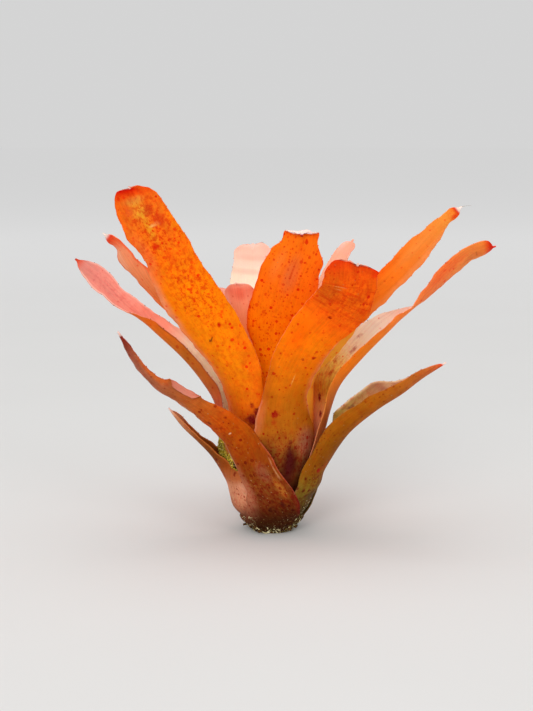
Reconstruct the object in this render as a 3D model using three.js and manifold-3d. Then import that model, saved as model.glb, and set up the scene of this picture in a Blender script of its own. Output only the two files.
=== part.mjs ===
// A neoregelia rosette, cut from its runner and standing on the cut end of its short stem.
// Millimetres, +Z up. The origin is the centre of the cut face; -Y is the front.
import * as THREE from 'three';
import { mergeVertices } from 'three/addons/utils/BufferGeometryUtils.js';
import Module from 'manifold-3d';

const wasm = await Module();
wasm.setup();

// Stem
const CUT_RADIUS = 12.4;
const SHOULDER_RADIUS = 20.4;
const SHOULDER_HEIGHT = 8.0;
const STEM_SEAT = 0.5;
const STEM_SIDES = 24;
const LAYERS = 10;

// Sheaths: every leaf base hugs a cup, each cup inside and above the one before
const FOOT_RADIUS = 20.0;
const FOOT_HEIGHT = 9.0;
const LAYER_RISE = 2.2;
const LAYER_INSET = 1.4;
const CUP_FLARE = 9.0;
const CUP_FLARE_HEIGHT = 11.0;
const CUP_SLOPE = 0.1;

// Leaf tissue
const SHEATH_THICKNESS = 1.2;
const BLADE_THICKNESS = 0.96;
const MARGIN_SHARE = 0.67;
const APICULUS = 2.2;
const RIM_SHARE = 0.92;
const MIDRIB_STEPS = 240;

// Marginal spines
const SPINE_FROM = 0.3;
const SPINE_LENGTH = 1.5;
const SPINE_WIDTH = 1.8;
const SPINE_LEAN = 0.5;

// Root stubs
const ROOT_COUNT = 13;

const COLORS = {
  orange: 0xf0700e,
  ember: 0xe8520a,
  ochre: 0xb4651a,
  salmon: 0xee8a66,
  cream: 0xf6d2bf,
  stem: 0x5e4422,
};

const DEGREE = Math.PI / 180;

function seeded(seed) {
  let state = seed;
  return () => {
    state = (state * 1664525 + 1013904223) % 4294967296;
    return state / 4294967296;
  };
}

function smooth(x) {
  const c = Math.min(Math.max(x, 0), 1);
  return c * c * (3 - 2 * c);
}

// Value at t of rows [t, value, value...], eased from row to row
function station(rows, t, column) {
  let value = rows[0][column];
  for (let i = 1; i < rows.length; i += 1) {
    const before = rows[i - 1];
    const after = rows[i];
    if (t >= before[0]) {
      const share = smooth((t - before[0]) / (after[0] - before[0]));
      value = before[column] + (after[column] - before[column]) * share;
    }
  }
  return value;
}

function cupRadius(z, layer) {
  const h = Math.max(z - FOOT_HEIGHT - layer * LAYER_RISE, 0);
  const flare = CUP_FLARE * (1 - Math.exp(-h / CUP_FLARE_HEIGHT));
  return FOOT_RADIUS - LAYER_INSET * layer + flare + CUP_SLOPE * h;
}

// Leaves, outermost first. turn: compass direction of the sheath at its foot and rim.
// blade: midrib above the cup. width: length share, left and right half-width.
// roll: turn of the blade about its midrib. curl: half-angle of the channel, left and right.
const LEAVES = [
  {
    name: 'leaf_low_front_left', color: 'ochre', layer: 0, turn: [-83, -112], cup: 30, columns: 6,
    blade: [[-22, -30, 61], [-34, -36, 74], [-50, -41, 87], [-69, -45, 98.5], [-81, -47, 113.5],
      [-91, -48, 131]],
    width: [[0, 22, 14], [0.05, 18, 18.5], [0.1, 13.5, 20.5], [0.16, 9.2, 20.5], [0.26, 8.5, 17],
      [0.34, 10, 13.5], [0.46, 10, 12], [0.58, 8.8, 7.5], [0.7, 7, 8.5], [0.79, 4.6, 4.5],
      [0.87, 4.2, 3.2], [0.94, 3, 2.6]],
    tip: [14, 1.6],
    roll: [[0.5, 0], [0.7, -8], [1, -8]],
    curl: [[0.4, 45, 45], [0.9, 50, 50]],
  },
  {
    name: 'leaf_bottom_left', color: 'ochre', layer: 1, turn: [175, 180], cup: 20, columns: 4,
    blade: [[-37, -3, 47], [-46, -4, 57], [-55, -5, 66], [-64, -6, 78]],
    width: [[0, 15, 18], [0.1, 17, 24.5], [0.2, 19, 28.5], [0.33, 16, 25], [0.43, 11, 15], [0.54, 8, 8],
      [0.7, 5, 5]],
    tip: [14, 2],
    curl: [[0.5, 70, 70], [0.9, 80, 80]],
  },
  {
    name: 'leaf_low_right', color: 'ochre', layer: 1, turn: [-25, -25], cup: 12, columns: 6,
    blade: [[28, -13, 31], [30, -14, 38], [34, -16, 46], [40, -18, 56], [48, -22, 67], [64, -26, 81],
      [78, -30, 91], [90, -33, 101], [104, -36, 110.8]],
    width: [[0, 15, 14], [0.1, 18, 14], [0.18, 17.5, 14], [0.3, 16, 17], [0.45, 17.5, 24], [0.64, 16, 23],
      [0.76, 12.5, 14], [0.86, 10.5, 9.5], [0.93, 8, 7]],
    tip: [16, 2],
    curl: [[0.3, 60, 45], [0.45, 68, 110], [0.7, 60, 110], [0.82, 50, 70], [1, 50, 50]],
  },
  {
    name: 'leaf_long_left', color: 'salmon', layer: 2, turn: [165, 172], cup: 34, columns: 6,
    blade: [[-35, 2, 80], [-43, 1, 94], [-55, 0, 109], [-72, 0, 125], [-90, 0, 142], [-106, 0, 158],
      [-121, 0, 170]],
    width: [[0, 15, 15], [0.15, 20, 21], [0.36, 16, 15.5], [0.55, 15, 13], [0.66, 12, 10.5],
      [0.76, 7.2, 7], [0.83, 5.6, 8.6], [0.9, 7, 9.3]],
    tip: [22, 1.8],
    roll: [[0.68, 0], [0.78, -38], [1, -45]],
    curl: [[0.31, 36, 34], [0.42, 88, 80], [0.52, 88, 85], [0.64, 90, 95], [0.73, 80, 85], [0.79, 28, 28],
      [1, 15, 15]],
  },
  {
    name: 'leaf_long_right', color: 'orange', layer: 2, turn: [5, 2], cup: 34, columns: 6,
    blade: [[36, 0, 76], [41.5, 0, 91.5], [54.5, 0, 108], [76.5, -1, 130.5], [92, -1, 144], [108, -2, 160],
      [123, -3, 173], [137, -3, 178]],
    width: [[0, 15, 15], [0.15, 22, 21], [0.25, 18.5, 19.5], [0.33, 15, 25], [0.42, 13, 21], [0.5, 12, 21],
      [0.6, 10, 16], [0.7, 8, 8], [0.85, 11, 10], [0.93, 10, 9]],
    tip: [9, 2.4],
    roll: [[0.3, 0], [0.42, 12], [0.58, 15], [0.66, 0], [0.76, -28], [0.85, -36], [1, -36]],
    curl: [[0.3, 36, 46], [0.42, 90, 62], [0.56, 95, 60], [0.64, 60, 50], [0.7, 20, 20], [1, 20, 20]],
  },
  {
    name: 'leaf_front_centre', color: 'ember', layer: 3, turn: [-78, -70], cup: 34, columns: 6,
    blade: [[8, -31, 82], [11, -36, 97], [24, -48, 124], [36, -53, 138], [47, -61, 155], [49, -66, 174.5]],
    width: [[0, 14, 14], [0.17, 24, 24], [0.28, 22, 22], [0.34, 18.5, 19], [0.42, 14.5, 16],
      [0.6, 17.5, 15], [0.72, 19.5, 13.5], [0.81, 20, 17.5], [0.9, 19.2, 12.8], [0.95, 18.5, 12],
      [0.975, 18, 14.5]],
    tip: [7, 2.8],
    roll: [[0.4, 0], [0.7, -12], [1, -12]],
    curl: [[0.32, 31, 36], [0.45, 33, 35], [0.75, 20, 20], [1, 10, 10]],
  },
  {
    name: 'leaf_tall_front_left', color: 'orange', layer: 4, turn: [-110, -116], cup: 34, columns: 6,
    blade: [[-18, -32, 94], [-30, -40, 119], [-39, -44, 135], [-56, -52, 162], [-71, -60, 193],
      [-82, -65, 218]],
    width: [[0, 14, 14], [0.17, 22, 20], [0.31, 16, 12], [0.48, 17.5, 18], [0.62, 19, 18.5],
      [0.74, 14.8, 17.7], [0.8, 12.2, 17.4], [0.87, 16.2, 15.6], [0.93, 16.4, 13.8], [0.95, 16, 12.8],
      [0.97, 15, 10], [0.985, 17, 7]],
    tip: [7, 3],
    roll: [[0.4, 8], [0.6, 18], [1, 18]],
    curl: [[0.45, 45, 40], [0.75, 20, 20], [1, 10, 10]],
  },
  {
    name: 'leaf_upper_right', color: 'orange', layer: 5, turn: [-35, -35], cup: 34, columns: 6,
    blade: [[19, -18, 102], [31, -24, 124], [45, -29, 143], [64, -33, 156], [82, -37, 175], [96, -40, 191],
      [111, -43, 204]],
    width: [[0, 13, 13], [0.15, 15, 19], [0.3, 12, 15], [0.38, 10, 14], [0.5, 10, 18], [0.6, 9, 17],
      [0.67, 8, 12], [0.72, 7.4, 10], [0.84, 6.8, 9.5], [0.89, 5.6, 8], [0.95, 5, 3.5]],
    tip: [5, 2],
    roll: [[0.3, -10], [0.43, -42], [0.6, -45], [1, -45]],
    curl: [[0.45, 40, 40], [0.75, 15, 15], [1, 15, 15]],
  },
  {
    name: 'leaf_slim_left', color: 'orange', layer: 5, turn: [-165, -165], cup: 34, columns: 6,
    blade: [[-26, -11, 94], [-46, -15, 124], [-67, -19, 145], [-77, -23, 158], [-87, -26, 173],
      [-92, -27, 181], [-101, -28, 187.5]],
    width: [[0, 13, 13], [0.15, 20, 20], [0.38, 10, 10], [0.6, 11, 11], [0.82, 9.5, 9.5], [0.89, 9, 5],
      [0.94, 4, 3]],
    tip: [7, 2.2],
    roll: [[0.4, 0], [0.6, 15], [0.8, 20], [0.9, 42], [1, 42]],
    curl: [[0.45, 40, 40], [0.75, 25, 25], [1, 15, 15]],
  },
  {
    name: 'leaf_upright_centre', color: 'ember', layer: 6, turn: [-95, -90], cup: 34, columns: 6,
    blade: [[2, -15, 91], [3, -18, 116], [5, -24, 143], [10, -28, 163], [15, -30, 176], [18, -32, 190]],
    width: [[0, 12, 12], [0.17, 17, 15], [0.38, 11, 12], [0.5, 13, 16], [0.65, 19.5, 18],
      [0.8, 17.5, 19.5], [0.9, 15.5, 17.8], [0.96, 12, 12.5]],
    tip: [4, 4],
    curl: [[0.45, 40, 40], [0.75, 15, 15], [1, 10, 10]],
  },
  {
    name: 'leaf_back_right', color: 'cream', layer: 7, turn: [50, 50], cup: 34, columns: 4,
    blade: [[18, 22, 91], [26, 34, 128], [38, 46, 155], [46, 54, 168], [53, 58, 178]],
    width: [[0, 10, 10], [0.15, 16, 15], [0.38, 12, 12], [0.7, 10, 8], [0.9, 8, 6.5]],
    tip: [12, 2.2],
    curl: [[0.45, 40, 40], [0.75, 35, 30], [1, 30, 20]],
  },
  {
    name: 'leaf_inner_left', color: 'salmon', layer: 7, turn: [-150, -150], cup: 30, columns: 4,
    blade: [[-10, -6, 96], [-15, -9, 121], [-18, -12, 140], [-21, -14, 158.5]],
    width: [[0, 9, 9], [0.15, 12, 12], [0.38, 9, 9], [0.7, 13, 11]],
    tip: [13, 2.6],
    roll: [[0.5, 20], [1, 30]],
    curl: [[0.45, 50, 50], [0.75, 25, 25], [1, 20, 20]],
  },
  {
    name: 'leaf_pale_back', color: 'cream', layer: 8, turn: [105, 105], cup: 34, columns: 4,
    blade: [[-5, 24, 90], [-9, 38, 127], [-12, 51, 152], [-12.5, 62, 176]],
    width: [[0, 10, 10], [0.15, 16, 16], [0.38, 12, 12], [0.7, 13, 15], [0.82, 13, 16], [0.92, 13, 13]],
    tip: [10, 2.6],
    curl: [[0.45, 40, 40], [0.75, 25, 25], [1, 10, 10]],
  },
  {
    name: 'leaf_heart_right', color: 'ochre', layer: 9, turn: [-10, -10], cup: 24, columns: 4,
    blade: [[11, -2, 72], [15, -3, 92]],
    width: [[0, 7, 7], [0.25, 10, 10], [0.6, 8, 8], [0.8, 7, 7]],
    tip: [16, 2],
    curl: [[0.45, 60, 60], [0.75, 50, 50], [1, 40, 40]],
  },
  {
    name: 'leaf_heart_left', color: 'ochre', layer: 9, turn: [170, 170], cup: 22, columns: 4,
    blade: [[-11, 2, 66], [-14, 2, 82]],
    width: [[0, 7, 7], [0.25, 8, 8], [0.6, 7.5, 8], [0.8, 7, 7]],
    tip: [16, 2],
    curl: [[0.45, 60, 60], [0.75, 50, 50], [1, 40, 40]],
  },
  {
    name: 'leaf_back_low', color: 'ochre', layer: 0, turn: [46, 68], cup: 26, columns: 4,
    blade: [[12, 37, 50], [14, 56, 68], [12, 78, 86], [4, 98, 98], [-4, 112, 103]],
    width: [[0, 16, 14], [0.07, 21, 18], [0.15, 27.5, 20], [0.22, 24, 18], [0.38, 13, 14], [0.7, 15, 15]],
    tip: [30, 2],
    curl: [[0.4, 60, 60], [0.7, 40, 40], [1, 25, 25]],
  },
  {
    name: 'leaf_back_right_long', color: 'orange', layer: 3, turn: [70, 66], cup: 34, columns: 4,
    blade: [[15, 43, 82], [24, 63, 108], [33, 85, 130], [43, 108, 142]],
    width: [[0, 14, 14], [0.15, 19, 22], [0.28, 13, 16], [0.38, 12, 13], [0.7, 16, 16]],
    tip: [18, 2.4],
    curl: [[0.4, 50, 50], [0.7, 30, 30], [1, 15, 15]],
  },
  {
    name: 'leaf_back_left_long', color: 'orange', layer: 4, turn: [112, 114], cup: 34, columns: 4,
    blade: [[-18, 41, 86], [-28, 61, 114], [-38, 83, 134], [-48, 104, 142]],
    width: [[0, 13, 13], [0.15, 20, 17.5], [0.38, 13, 12], [0.7, 16, 16]],
    tip: [18, 2.4],
    curl: [[0.4, 50, 50], [0.7, 30, 30], [1, 15, 15]],
  },
  {
    name: 'leaf_back_middle', color: 'ember', layer: 6, turn: [85, 84], cup: 34, columns: 4,
    blade: [[4, 33, 90], [8, 52, 118], [12, 73, 142], [14, 94, 156]],
    width: [[0, 12, 12], [0.15, 17, 18], [0.38, 12, 12], [0.7, 15, 15]],
    tip: [16, 2.4],
    curl: [[0.4, 45, 45], [0.7, 25, 25], [1, 15, 15]],
  },
];

function compass(degrees, radius, z) {
  return new THREE.Vector3(radius * Math.cos(degrees * DEGREE), radius * Math.sin(degrees * DEGREE), z);
}

// Midrib: up the cup, then through the blade points, with a frame at every step
function midrib(leaf) {
  const foot = FOOT_HEIGHT + leaf.layer * LAYER_RISE;
  const rise = [0, 0.12, 0.3, 0.6, 1.0];
  const hug = rise.map((share) => {
    const z = foot + share * leaf.cup;
    const turn = leaf.turn[0] + (leaf.turn[1] - leaf.turn[0]) * share;
    return compass(turn, cupRadius(z, leaf.layer), z);
  });
  let hugLength = 0;
  for (let i = 1; i < hug.length; i += 1) {
    hugLength += hug[i].distanceTo(hug[i - 1]);
  }
  const points = hug.concat(leaf.blade.map((p) => new THREE.Vector3(p[0], p[1], p[2])));
  const curve = new THREE.CatmullRomCurve3(points, false, 'centripetal');
  curve.arcLengthDivisions = 2400;
  const line = curve.getSpacedPoints(MIDRIB_STEPS);
  const length = curve.getLength();
  const leave = hugLength / length;
  const side = new THREE.Vector3();
  const frames = line.map((point, i) => {
    const before = line[Math.max(i - 1, 0)];
    const after = line[Math.min(i + 1, MIDRIB_STEPS)];
    const along = after.clone().sub(before).normalize();
    if (i / MIDRIB_STEPS < leave) {
      side.set(-point.y, point.x, 0);
    }
    side.addScaledVector(along, -side.dot(along)).normalize();
    const inward = along.clone().cross(side);
    const roll = leaf.roll ? station([[0, 0], [leave, 0], ...leaf.roll], i / MIDRIB_STEPS, 1) : 0;
    const across = side.clone().multiplyScalar(Math.cos(roll * DEGREE));
    across.addScaledVector(inward, Math.sin(roll * DEGREE));
    return { point, along, across, inward: along.clone().cross(across) };
  });
  const rimRadius = Math.hypot(hug[4].x, hug[4].y);
  const rim = [leave, 1, 2].map((column, i) => {
    return i === 0 ? leave : RIM_SHARE * station(leaf.width, leave, column) / rimRadius / DEGREE;
  });
  return { frames, length, leave, rim };
}

function halfWidth(leaf, rib, t, side) {
  const [tipLength, power] = leaf.tip;
  const end = 1 - APICULUS / rib.length;
  const start = end - tipLength / rib.length;
  const x = Math.min(Math.max((t - start) / (end - start), 0), 1);
  const body = station(leaf.width, t, side < 0 ? 1 : 2) * (1 - x ** power) ** (1 / power);
  const neck = end - 2.5 / rib.length;
  if (t <= neck) {
    return body;
  }
  return Math.max(body, 1.5 - 1.1 * ((t - neck) / (1 - neck)));
}

// Middle of the blade at length share t and side f, from -1 (left margin) to 1 (right margin)
function surface(leaf, rib, t, f) {
  const side = Math.sign(f);
  const width = halfWidth(leaf, rib, t, side);
  const step = Math.min(Math.floor(t * MIDRIB_STEPS), MIDRIB_STEPS - 1);
  const share = t * MIDRIB_STEPS - step;
  const a = rib.frames[step];
  const b = rib.frames[step + 1];
  const point = a.point.clone().lerp(b.point, share);
  const across = a.across.clone().lerp(b.across, share);
  const inward = a.inward.clone().lerp(b.inward, share);
  const radius = Math.hypot(point.x, point.y);
  const turn = Math.atan2(point.y, point.x) + f * width / radius;
  const hug = new THREE.Vector3(radius * Math.cos(turn), radius * Math.sin(turn), point.z);
  const half = station([rib.rim, ...leaf.curl], t, side < 0 ? 1 : 2) * DEGREE;
  const bend = width / half;
  const angle = Math.abs(f) * half;
  const open = point.addScaledVector(across, side * bend * Math.sin(angle));
  open.addScaledVector(inward, bend * (1 - Math.cos(angle)));
  return hug.lerp(open, smooth((t - 0.75 * rib.leave) / (0.75 * rib.leave)));
}

// Unit normal of the upper, inner face
function faceNormal(leaf, rib, t, f) {
  const dt = 0.004;
  const df = 0.05;
  const up = surface(leaf, rib, Math.min(t + dt, 1), f).sub(surface(leaf, rib, Math.max(t - dt, 0), f));
  const over = surface(leaf, rib, t, Math.min(f + df, 1)).sub(surface(leaf, rib, t, Math.max(f - df, -1)));
  return up.cross(over).normalize();
}

function thickness(rib, t, f) {
  const middle = SHEATH_THICKNESS + (BLADE_THICKNESS - SHEATH_THICKNESS) * smooth(t / (2 * rib.leave));
  return middle * (1 - (1 - MARGIN_SHARE) * Math.abs(f) ** 3);
}

// Rows along the leaf, close together where the tip rounds off
function lengthShares(leaf, rib, rows) {
  const start = 1 - (leaf.tip[0] + APICULUS) / rib.length;
  const shares = [];
  for (let i = 0; i <= rows; i += 1) {
    shares.push(start * i / rows);
  }
  for (let i = 1; i <= 4; i += 1) {
    shares.push(start + (1 - start) * Math.sin(i / 4 * Math.PI / 2));
  }
  return shares;
}

function solidFrom(vertices, triangles) {
  const mesh = new wasm.Mesh({
    numProp: 3,
    vertProperties: new Float32Array(vertices),
    triVerts: new Uint32Array(triangles),
  });
  mesh.merge();
  return new wasm.Manifold(mesh);
}

// Shares of one margin step where teeth stand, one list of [start, end] per step
function toothSteps(shares, rib, draw) {
  return shares.slice(1).map((t, i) => {
    const step = (t - shares[i]) * rib.length;
    if (t < SPINE_FROM || step < 3 * SPINE_WIDTH) {
      return [];
    }
    const middle = 0.3 + 0.4 * draw();
    const half = SPINE_WIDTH / step / 2;
    return [[middle - half, middle + half]];
  });
}

function bladeSolid(leaf, rib, seed) {
  const shares = lengthShares(leaf, rib, leaf.columns === 6 ? 14 : 11);
  const columns = leaf.columns;
  const rows = shares.length;
  const vertices = [];
  for (const face of [1, -1]) {
    for (const t of shares) {
      for (let j = 0; j <= columns; j += 1) {
        const f = -1 + 2 * j / columns;
        const half = face * thickness(rib, t, f) / 2;
        const p = surface(leaf, rib, t, f).addScaledVector(faceNormal(leaf, rib, t, f), half);
        vertices.push(p.x, p.y, p.z);
      }
    }
  }
  const at = (face, i, j) => face * rows * (columns + 1) + i * (columns + 1) + j;
  const corner = (index) => new THREE.Vector3().fromArray(vertices, 3 * index);
  const addVertex = (p) => vertices.push(p.x, p.y, p.z) / 3 - 1;
  const triangles = [];
  const add = (flip, x, y, z) => (flip ? triangles.push(x, z, y) : triangles.push(x, y, z));
  for (let i = 0; i < rows - 1; i += 1) {
    for (let j = 1; j < columns - 1; j += 1) {
      for (const face of [0, 1]) {
        add(face === 1, at(face, i, j), at(face, i + 1, j), at(face, i + 1, j + 1));
        add(face === 1, at(face, i, j), at(face, i + 1, j + 1), at(face, i, j + 1));
      }
    }
  }
  const draw = seeded(seed);
  for (const right of [false, true]) {
    const edge = right ? columns : 0;
    const next = right ? columns - 1 : 1;
    const teeth = toothSteps(shares, rib, draw);
    for (let i = 0; i < rows - 1; i += 1) {
      const chain = [[at(0, i, edge)], [at(1, i, edge)]];
      const tips = [];
      for (const [start, stop] of teeth[i]) {
        for (const share of [start, stop]) {
          for (const face of [0, 1]) {
            const low = corner(at(face, i, edge));
            chain[face].push(addVertex(low.lerp(corner(at(face, i + 1, edge)), share)));
          }
        }
        const low = corner(at(0, i, edge)).lerp(corner(at(1, i, edge)), 0.5);
        const high = corner(at(0, i + 1, edge)).lerp(corner(at(1, i + 1, edge)), 0.5);
        const inner = corner(at(0, i, next)).lerp(corner(at(1, i, next)), 0.5);
        const along = high.clone().sub(low).normalize();
        const out = low.clone().sub(inner);
        out.addScaledVector(along, -out.dot(along)).normalize();
        const tip = low.lerp(high, stop).addScaledVector(out, SPINE_LENGTH * (0.8 + 0.4 * draw()));
        tips.push(addVertex(tip.addScaledVector(along, SPINE_LEAN)));
      }
      chain[0].push(at(0, i + 1, edge));
      chain[1].push(at(1, i + 1, edge));
      const last = chain[0].length - 1;
      for (const face of [0, 1]) {
        const flip = right !== (face === 1);
        for (let k = 0; k < last - 1; k += 1) {
          add(flip, chain[face][k], chain[face][k + 1], at(face, i, next));
        }
        add(flip, chain[face][last - 1], at(face, i + 1, next), at(face, i, next));
        add(flip, chain[face][last - 1], chain[face][last], at(face, i + 1, next));
      }
      for (let k = 0; k < last; k += 1) {
        const [x0, y0] = [chain[0][k], chain[0][k + 1]];
        const [x1, y1] = [chain[1][k], chain[1][k + 1]];
        if (k % 2 === 0) {
          add(right, x0, x1, y1);
          add(right, x0, y1, y0);
        } else {
          const tip = tips[(k - 1) / 2];
          add(right, y0, x0, tip);
          add(right, x0, x1, tip);
          add(right, x1, y1, tip);
          add(right, y1, y0, tip);
        }
      }
    }
  }
  const end = rows - 1;
  for (let j = 0; j < columns; j += 1) {
    triangles.push(at(0, 0, j), at(0, 0, j + 1), at(1, 0, j + 1));
    triangles.push(at(0, 0, j), at(1, 0, j + 1), at(1, 0, j));
    triangles.push(at(0, end, j), at(1, end, j + 1), at(0, end, j + 1));
    triangles.push(at(0, end, j), at(1, end, j), at(1, end, j + 1));
  }
  return solidFrom(vertices, triangles);
}

// Tapered rod with straight sides
function rodSolid(root, tip, rootRadius, tipRadius, sides) {
  const axis = tip.clone().sub(root).normalize();
  const helper = Math.abs(axis.z) < 0.9 ? new THREE.Vector3(0, 0, 1) : new THREE.Vector3(1, 0, 0);
  const u = axis.clone().cross(helper).normalize();
  const v = axis.clone().cross(u);
  const vertices = [];
  for (const [centre, radius] of [[root, rootRadius], [tip, tipRadius]]) {
    for (let k = 0; k < sides; k += 1) {
      const turn = 2 * Math.PI * k / sides;
      const p = centre.clone().addScaledVector(u, radius * Math.cos(turn));
      p.addScaledVector(v, radius * Math.sin(turn));
      vertices.push(p.x, p.y, p.z);
    }
  }
  const triangles = [];
  for (let k = 0; k < sides; k += 1) {
    const next = (k + 1) % sides;
    triangles.push(k, next, sides + next, k, sides + next, sides + k);
  }
  for (let k = 1; k < sides - 1; k += 1) {
    triangles.push(0, k + 1, k, sides, sides + k, sides + k + 1);
  }
  return solidFrom(vertices, triangles);
}

function lathe(profile, sides) {
  const vertices = [0, 0, profile[0][1]];
  const triangles = [];
  for (const [radius, z] of profile) {
    for (let k = 0; k < sides; k += 1) {
      const turn = 2 * Math.PI * k / sides;
      vertices.push(radius * Math.cos(turn), radius * Math.sin(turn), z);
    }
  }
  const last = profile.length - 1;
  const top = 1 + profile.length * sides;
  vertices.push(0, 0, profile[last][1] + 0.8);
  for (let k = 0; k < sides; k += 1) {
    const next = (k + 1) % sides;
    triangles.push(0, 1 + next, 1 + k);
    triangles.push(top, 1 + last * sides + k, 1 + last * sides + next);
    for (let i = 0; i < last; i += 1) {
      const a = 1 + i * sides;
      const b = a + sides;
      triangles.push(a + k, a + next, b + next, a + k, b + next, b + k);
    }
  }
  return solidFrom(vertices, triangles);
}

// Short top-shaped stem: cut flat below, widest where the lowest leaf sits
function stemSolid() {
  const seat = FOOT_RADIUS - 0.19 - STEM_SEAT;
  const crown = FOOT_HEIGHT + (LAYERS - 0.5) * LAYER_RISE;
  const profile = [
    [CUT_RADIUS, 0],
    [CUT_RADIUS + 0.8, 1.3],
    [CUT_RADIUS + 2.8, 4.2],
    [SHOULDER_RADIUS - 0.9, 6.8],
    [SHOULDER_RADIUS, SHOULDER_HEIGHT],
    [SHOULDER_RADIUS - 0.3, SHOULDER_HEIGHT + 0.25],
    [seat + 0.25, FOOT_HEIGHT - 0.45],
    [seat, FOOT_HEIGHT],
    [seat - LAYER_INSET * 5, FOOT_HEIGHT + LAYER_RISE * 5],
    [seat - LAYER_INSET * (LAYERS - 0.5), crown],
    [2.6, crown + 1.8],
  ];
  return lathe(profile, STEM_SIDES);
}

function addRoots(stem) {
  const draw = seeded(77);
  let solid = stem;
  for (let k = 0; k < ROOT_COUNT; k += 1) {
    const turn = 360 * (k + 0.9 * draw()) / ROOT_COUNT;
    const z = 1.6 + 4.6 * draw();
    const radius = 0.7 + 0.6 * draw();
    const inside = compass(turn, CUT_RADIUS - 3.5, z + 1.2);
    const reach = CUT_RADIUS + 0.7 * z + 0.8 + 3.2 * draw() ** 2;
    const low = Math.max(z - 1.6 * draw(), radius + 0.2);
    const end = compass(turn + 24 * (draw() - 0.5), reach, low);
    solid = solid.add(rodSolid(inside, end, radius + 0.4, radius * 0.75, 5));
  }
  return solid;
}

function geometryOf(solid) {
  const mesh = solid.getMesh();
  const geometry = new THREE.BufferGeometry();
  geometry.setAttribute('position', new THREE.BufferAttribute(mesh.vertProperties, 3));
  geometry.setIndex(new THREE.BufferAttribute(mesh.triVerts, 1));
  const merged = mergeVertices(geometry, 1e-4);
  merged.computeVertexNormals();
  return merged;
}

function leafMaterial(color) {
  return new THREE.MeshStandardMaterial({ color: COLORS[color], roughness: 0.45, metalness: 0 });
}

function stemMaterial() {
  return new THREE.MeshStandardMaterial({ color: COLORS.stem, roughness: 0.9, metalness: 0 });
}

const group = new THREE.Group();
group.name = 'neoregelia';

LEAVES.forEach((leaf, i) => {
  const rib = midrib(leaf);
  const solid = bladeSolid(leaf, rib, 101 + 7 * i);
  const mesh = new THREE.Mesh(geometryOf(solid), leafMaterial(leaf.color));
  mesh.name = leaf.name;
  group.add(mesh);
});

const stem = new THREE.Mesh(geometryOf(addRoots(stemSolid())), stemMaterial());
stem.name = 'stem';
group.add(stem);

export default group;
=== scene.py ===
"""A neoregelia rosette standing on the cut end of its short stem. Metres, +Z up, front towards -Y."""

import math

import bpy
import numpy as np
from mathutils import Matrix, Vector


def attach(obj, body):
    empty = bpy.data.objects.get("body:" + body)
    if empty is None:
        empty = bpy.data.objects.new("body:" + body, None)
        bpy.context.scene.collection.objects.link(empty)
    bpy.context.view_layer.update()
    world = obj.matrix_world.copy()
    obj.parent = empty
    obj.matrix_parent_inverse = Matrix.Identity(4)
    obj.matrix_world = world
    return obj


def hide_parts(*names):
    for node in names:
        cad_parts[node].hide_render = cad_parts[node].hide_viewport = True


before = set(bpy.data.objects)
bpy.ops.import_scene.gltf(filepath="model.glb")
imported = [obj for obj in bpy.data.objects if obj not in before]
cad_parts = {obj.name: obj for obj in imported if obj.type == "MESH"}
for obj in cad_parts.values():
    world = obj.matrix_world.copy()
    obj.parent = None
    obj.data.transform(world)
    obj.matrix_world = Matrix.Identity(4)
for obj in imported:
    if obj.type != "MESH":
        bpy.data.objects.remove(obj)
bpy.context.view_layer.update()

MM = 0.001
CIRCLE = 2 * math.pi

# The cup of sheaths and the leaf tissue, in millimetres and shares, the same as in the solids
FOOT_RADIUS = 20.0
FOOT_HEIGHT = 9.0
LAYER_RISE = 2.2
LAYER_INSET = 1.4
CUP_FLARE = 9.0
CUP_FLARE_HEIGHT = 11.0
CUP_SLOPE = 0.1
SHEATH_THICKNESS = 1.2
BLADE_THICKNESS = 0.96
MARGIN_SHARE = 0.67
RIM_SHARE = 0.92
MIDRIB_STEPS = 240
HUG_SHARES = (0, 0.12, 0.3, 0.6, 1.0)
OPENING = 0.75
APICULUS = 2.2
NECK_LENGTH = 2.5
NECK_HALF_WIDTH = 1.5
NECK_TAPER = 1.1

# How finely the leaf surfaces are drawn, how far their rims bulge, and how far apart their textures lie
ROW_STEP = 1.25
TIP_ROWS = 16
COLUMNS = 36
EVEN_COLUMNS = 0.6
EDGE_ROUND = 0.22
TEXTURE_STEP = np.array([97.0, 61.0])
LEAF_SEED = 500

# Height and wavelength of a margin's waves, in the plane of the blade and out of it. They start past the cup,
# at a multiple of its share of the leaf, and ease in and out over shares of the leaf.
RIPPLES = [(0.22, 31), (0.16, 13), (0.1, 5.3)]
RUFFLES = [(0.4, 41), (0.25, 17), (0.12, 7.1)]
WAVES_FROM = 1.3
WAVES_EASE_IN = 0.2
WAVES_EASE_OUT = 0.04

# Bent and swollen parts of leaves
CREST_REACH = 12.0
CREASE_INSET = 0.6
FOLD_RADIUS = 0.75
BULGE_HEIGHT = 15.0
BULGE_HALF = 6.0

# Marginal spines: where they stand, as shares of the leaf, and their size, with the root sunk in the margin
SPINE_FROM = 0.26
SPINE_TO = 0.95
SPINE_SPACING = 6.2
SPINE_LENGTH = 0.62
SPINE_BASE = 1.15
SPINE_ROOT = 0.25

# Stem
CUT_RADIUS = 12.4
STEM_SEAT = 0.5
SEAT_CLEARANCE = 0.19
LAYERS = 10
ROOT_COUNT = 13
STEM_SEED = 77
STEM_ROWS = 78
STEM_SIDES = 140

# Lumps of the stem: height, how many stand round it, and how fast they twist upward
STEM_LUMPS = [(0.35, 7, 1), (0.25, 13, -2.1), (0.2, 23, 3.7)]

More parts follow.
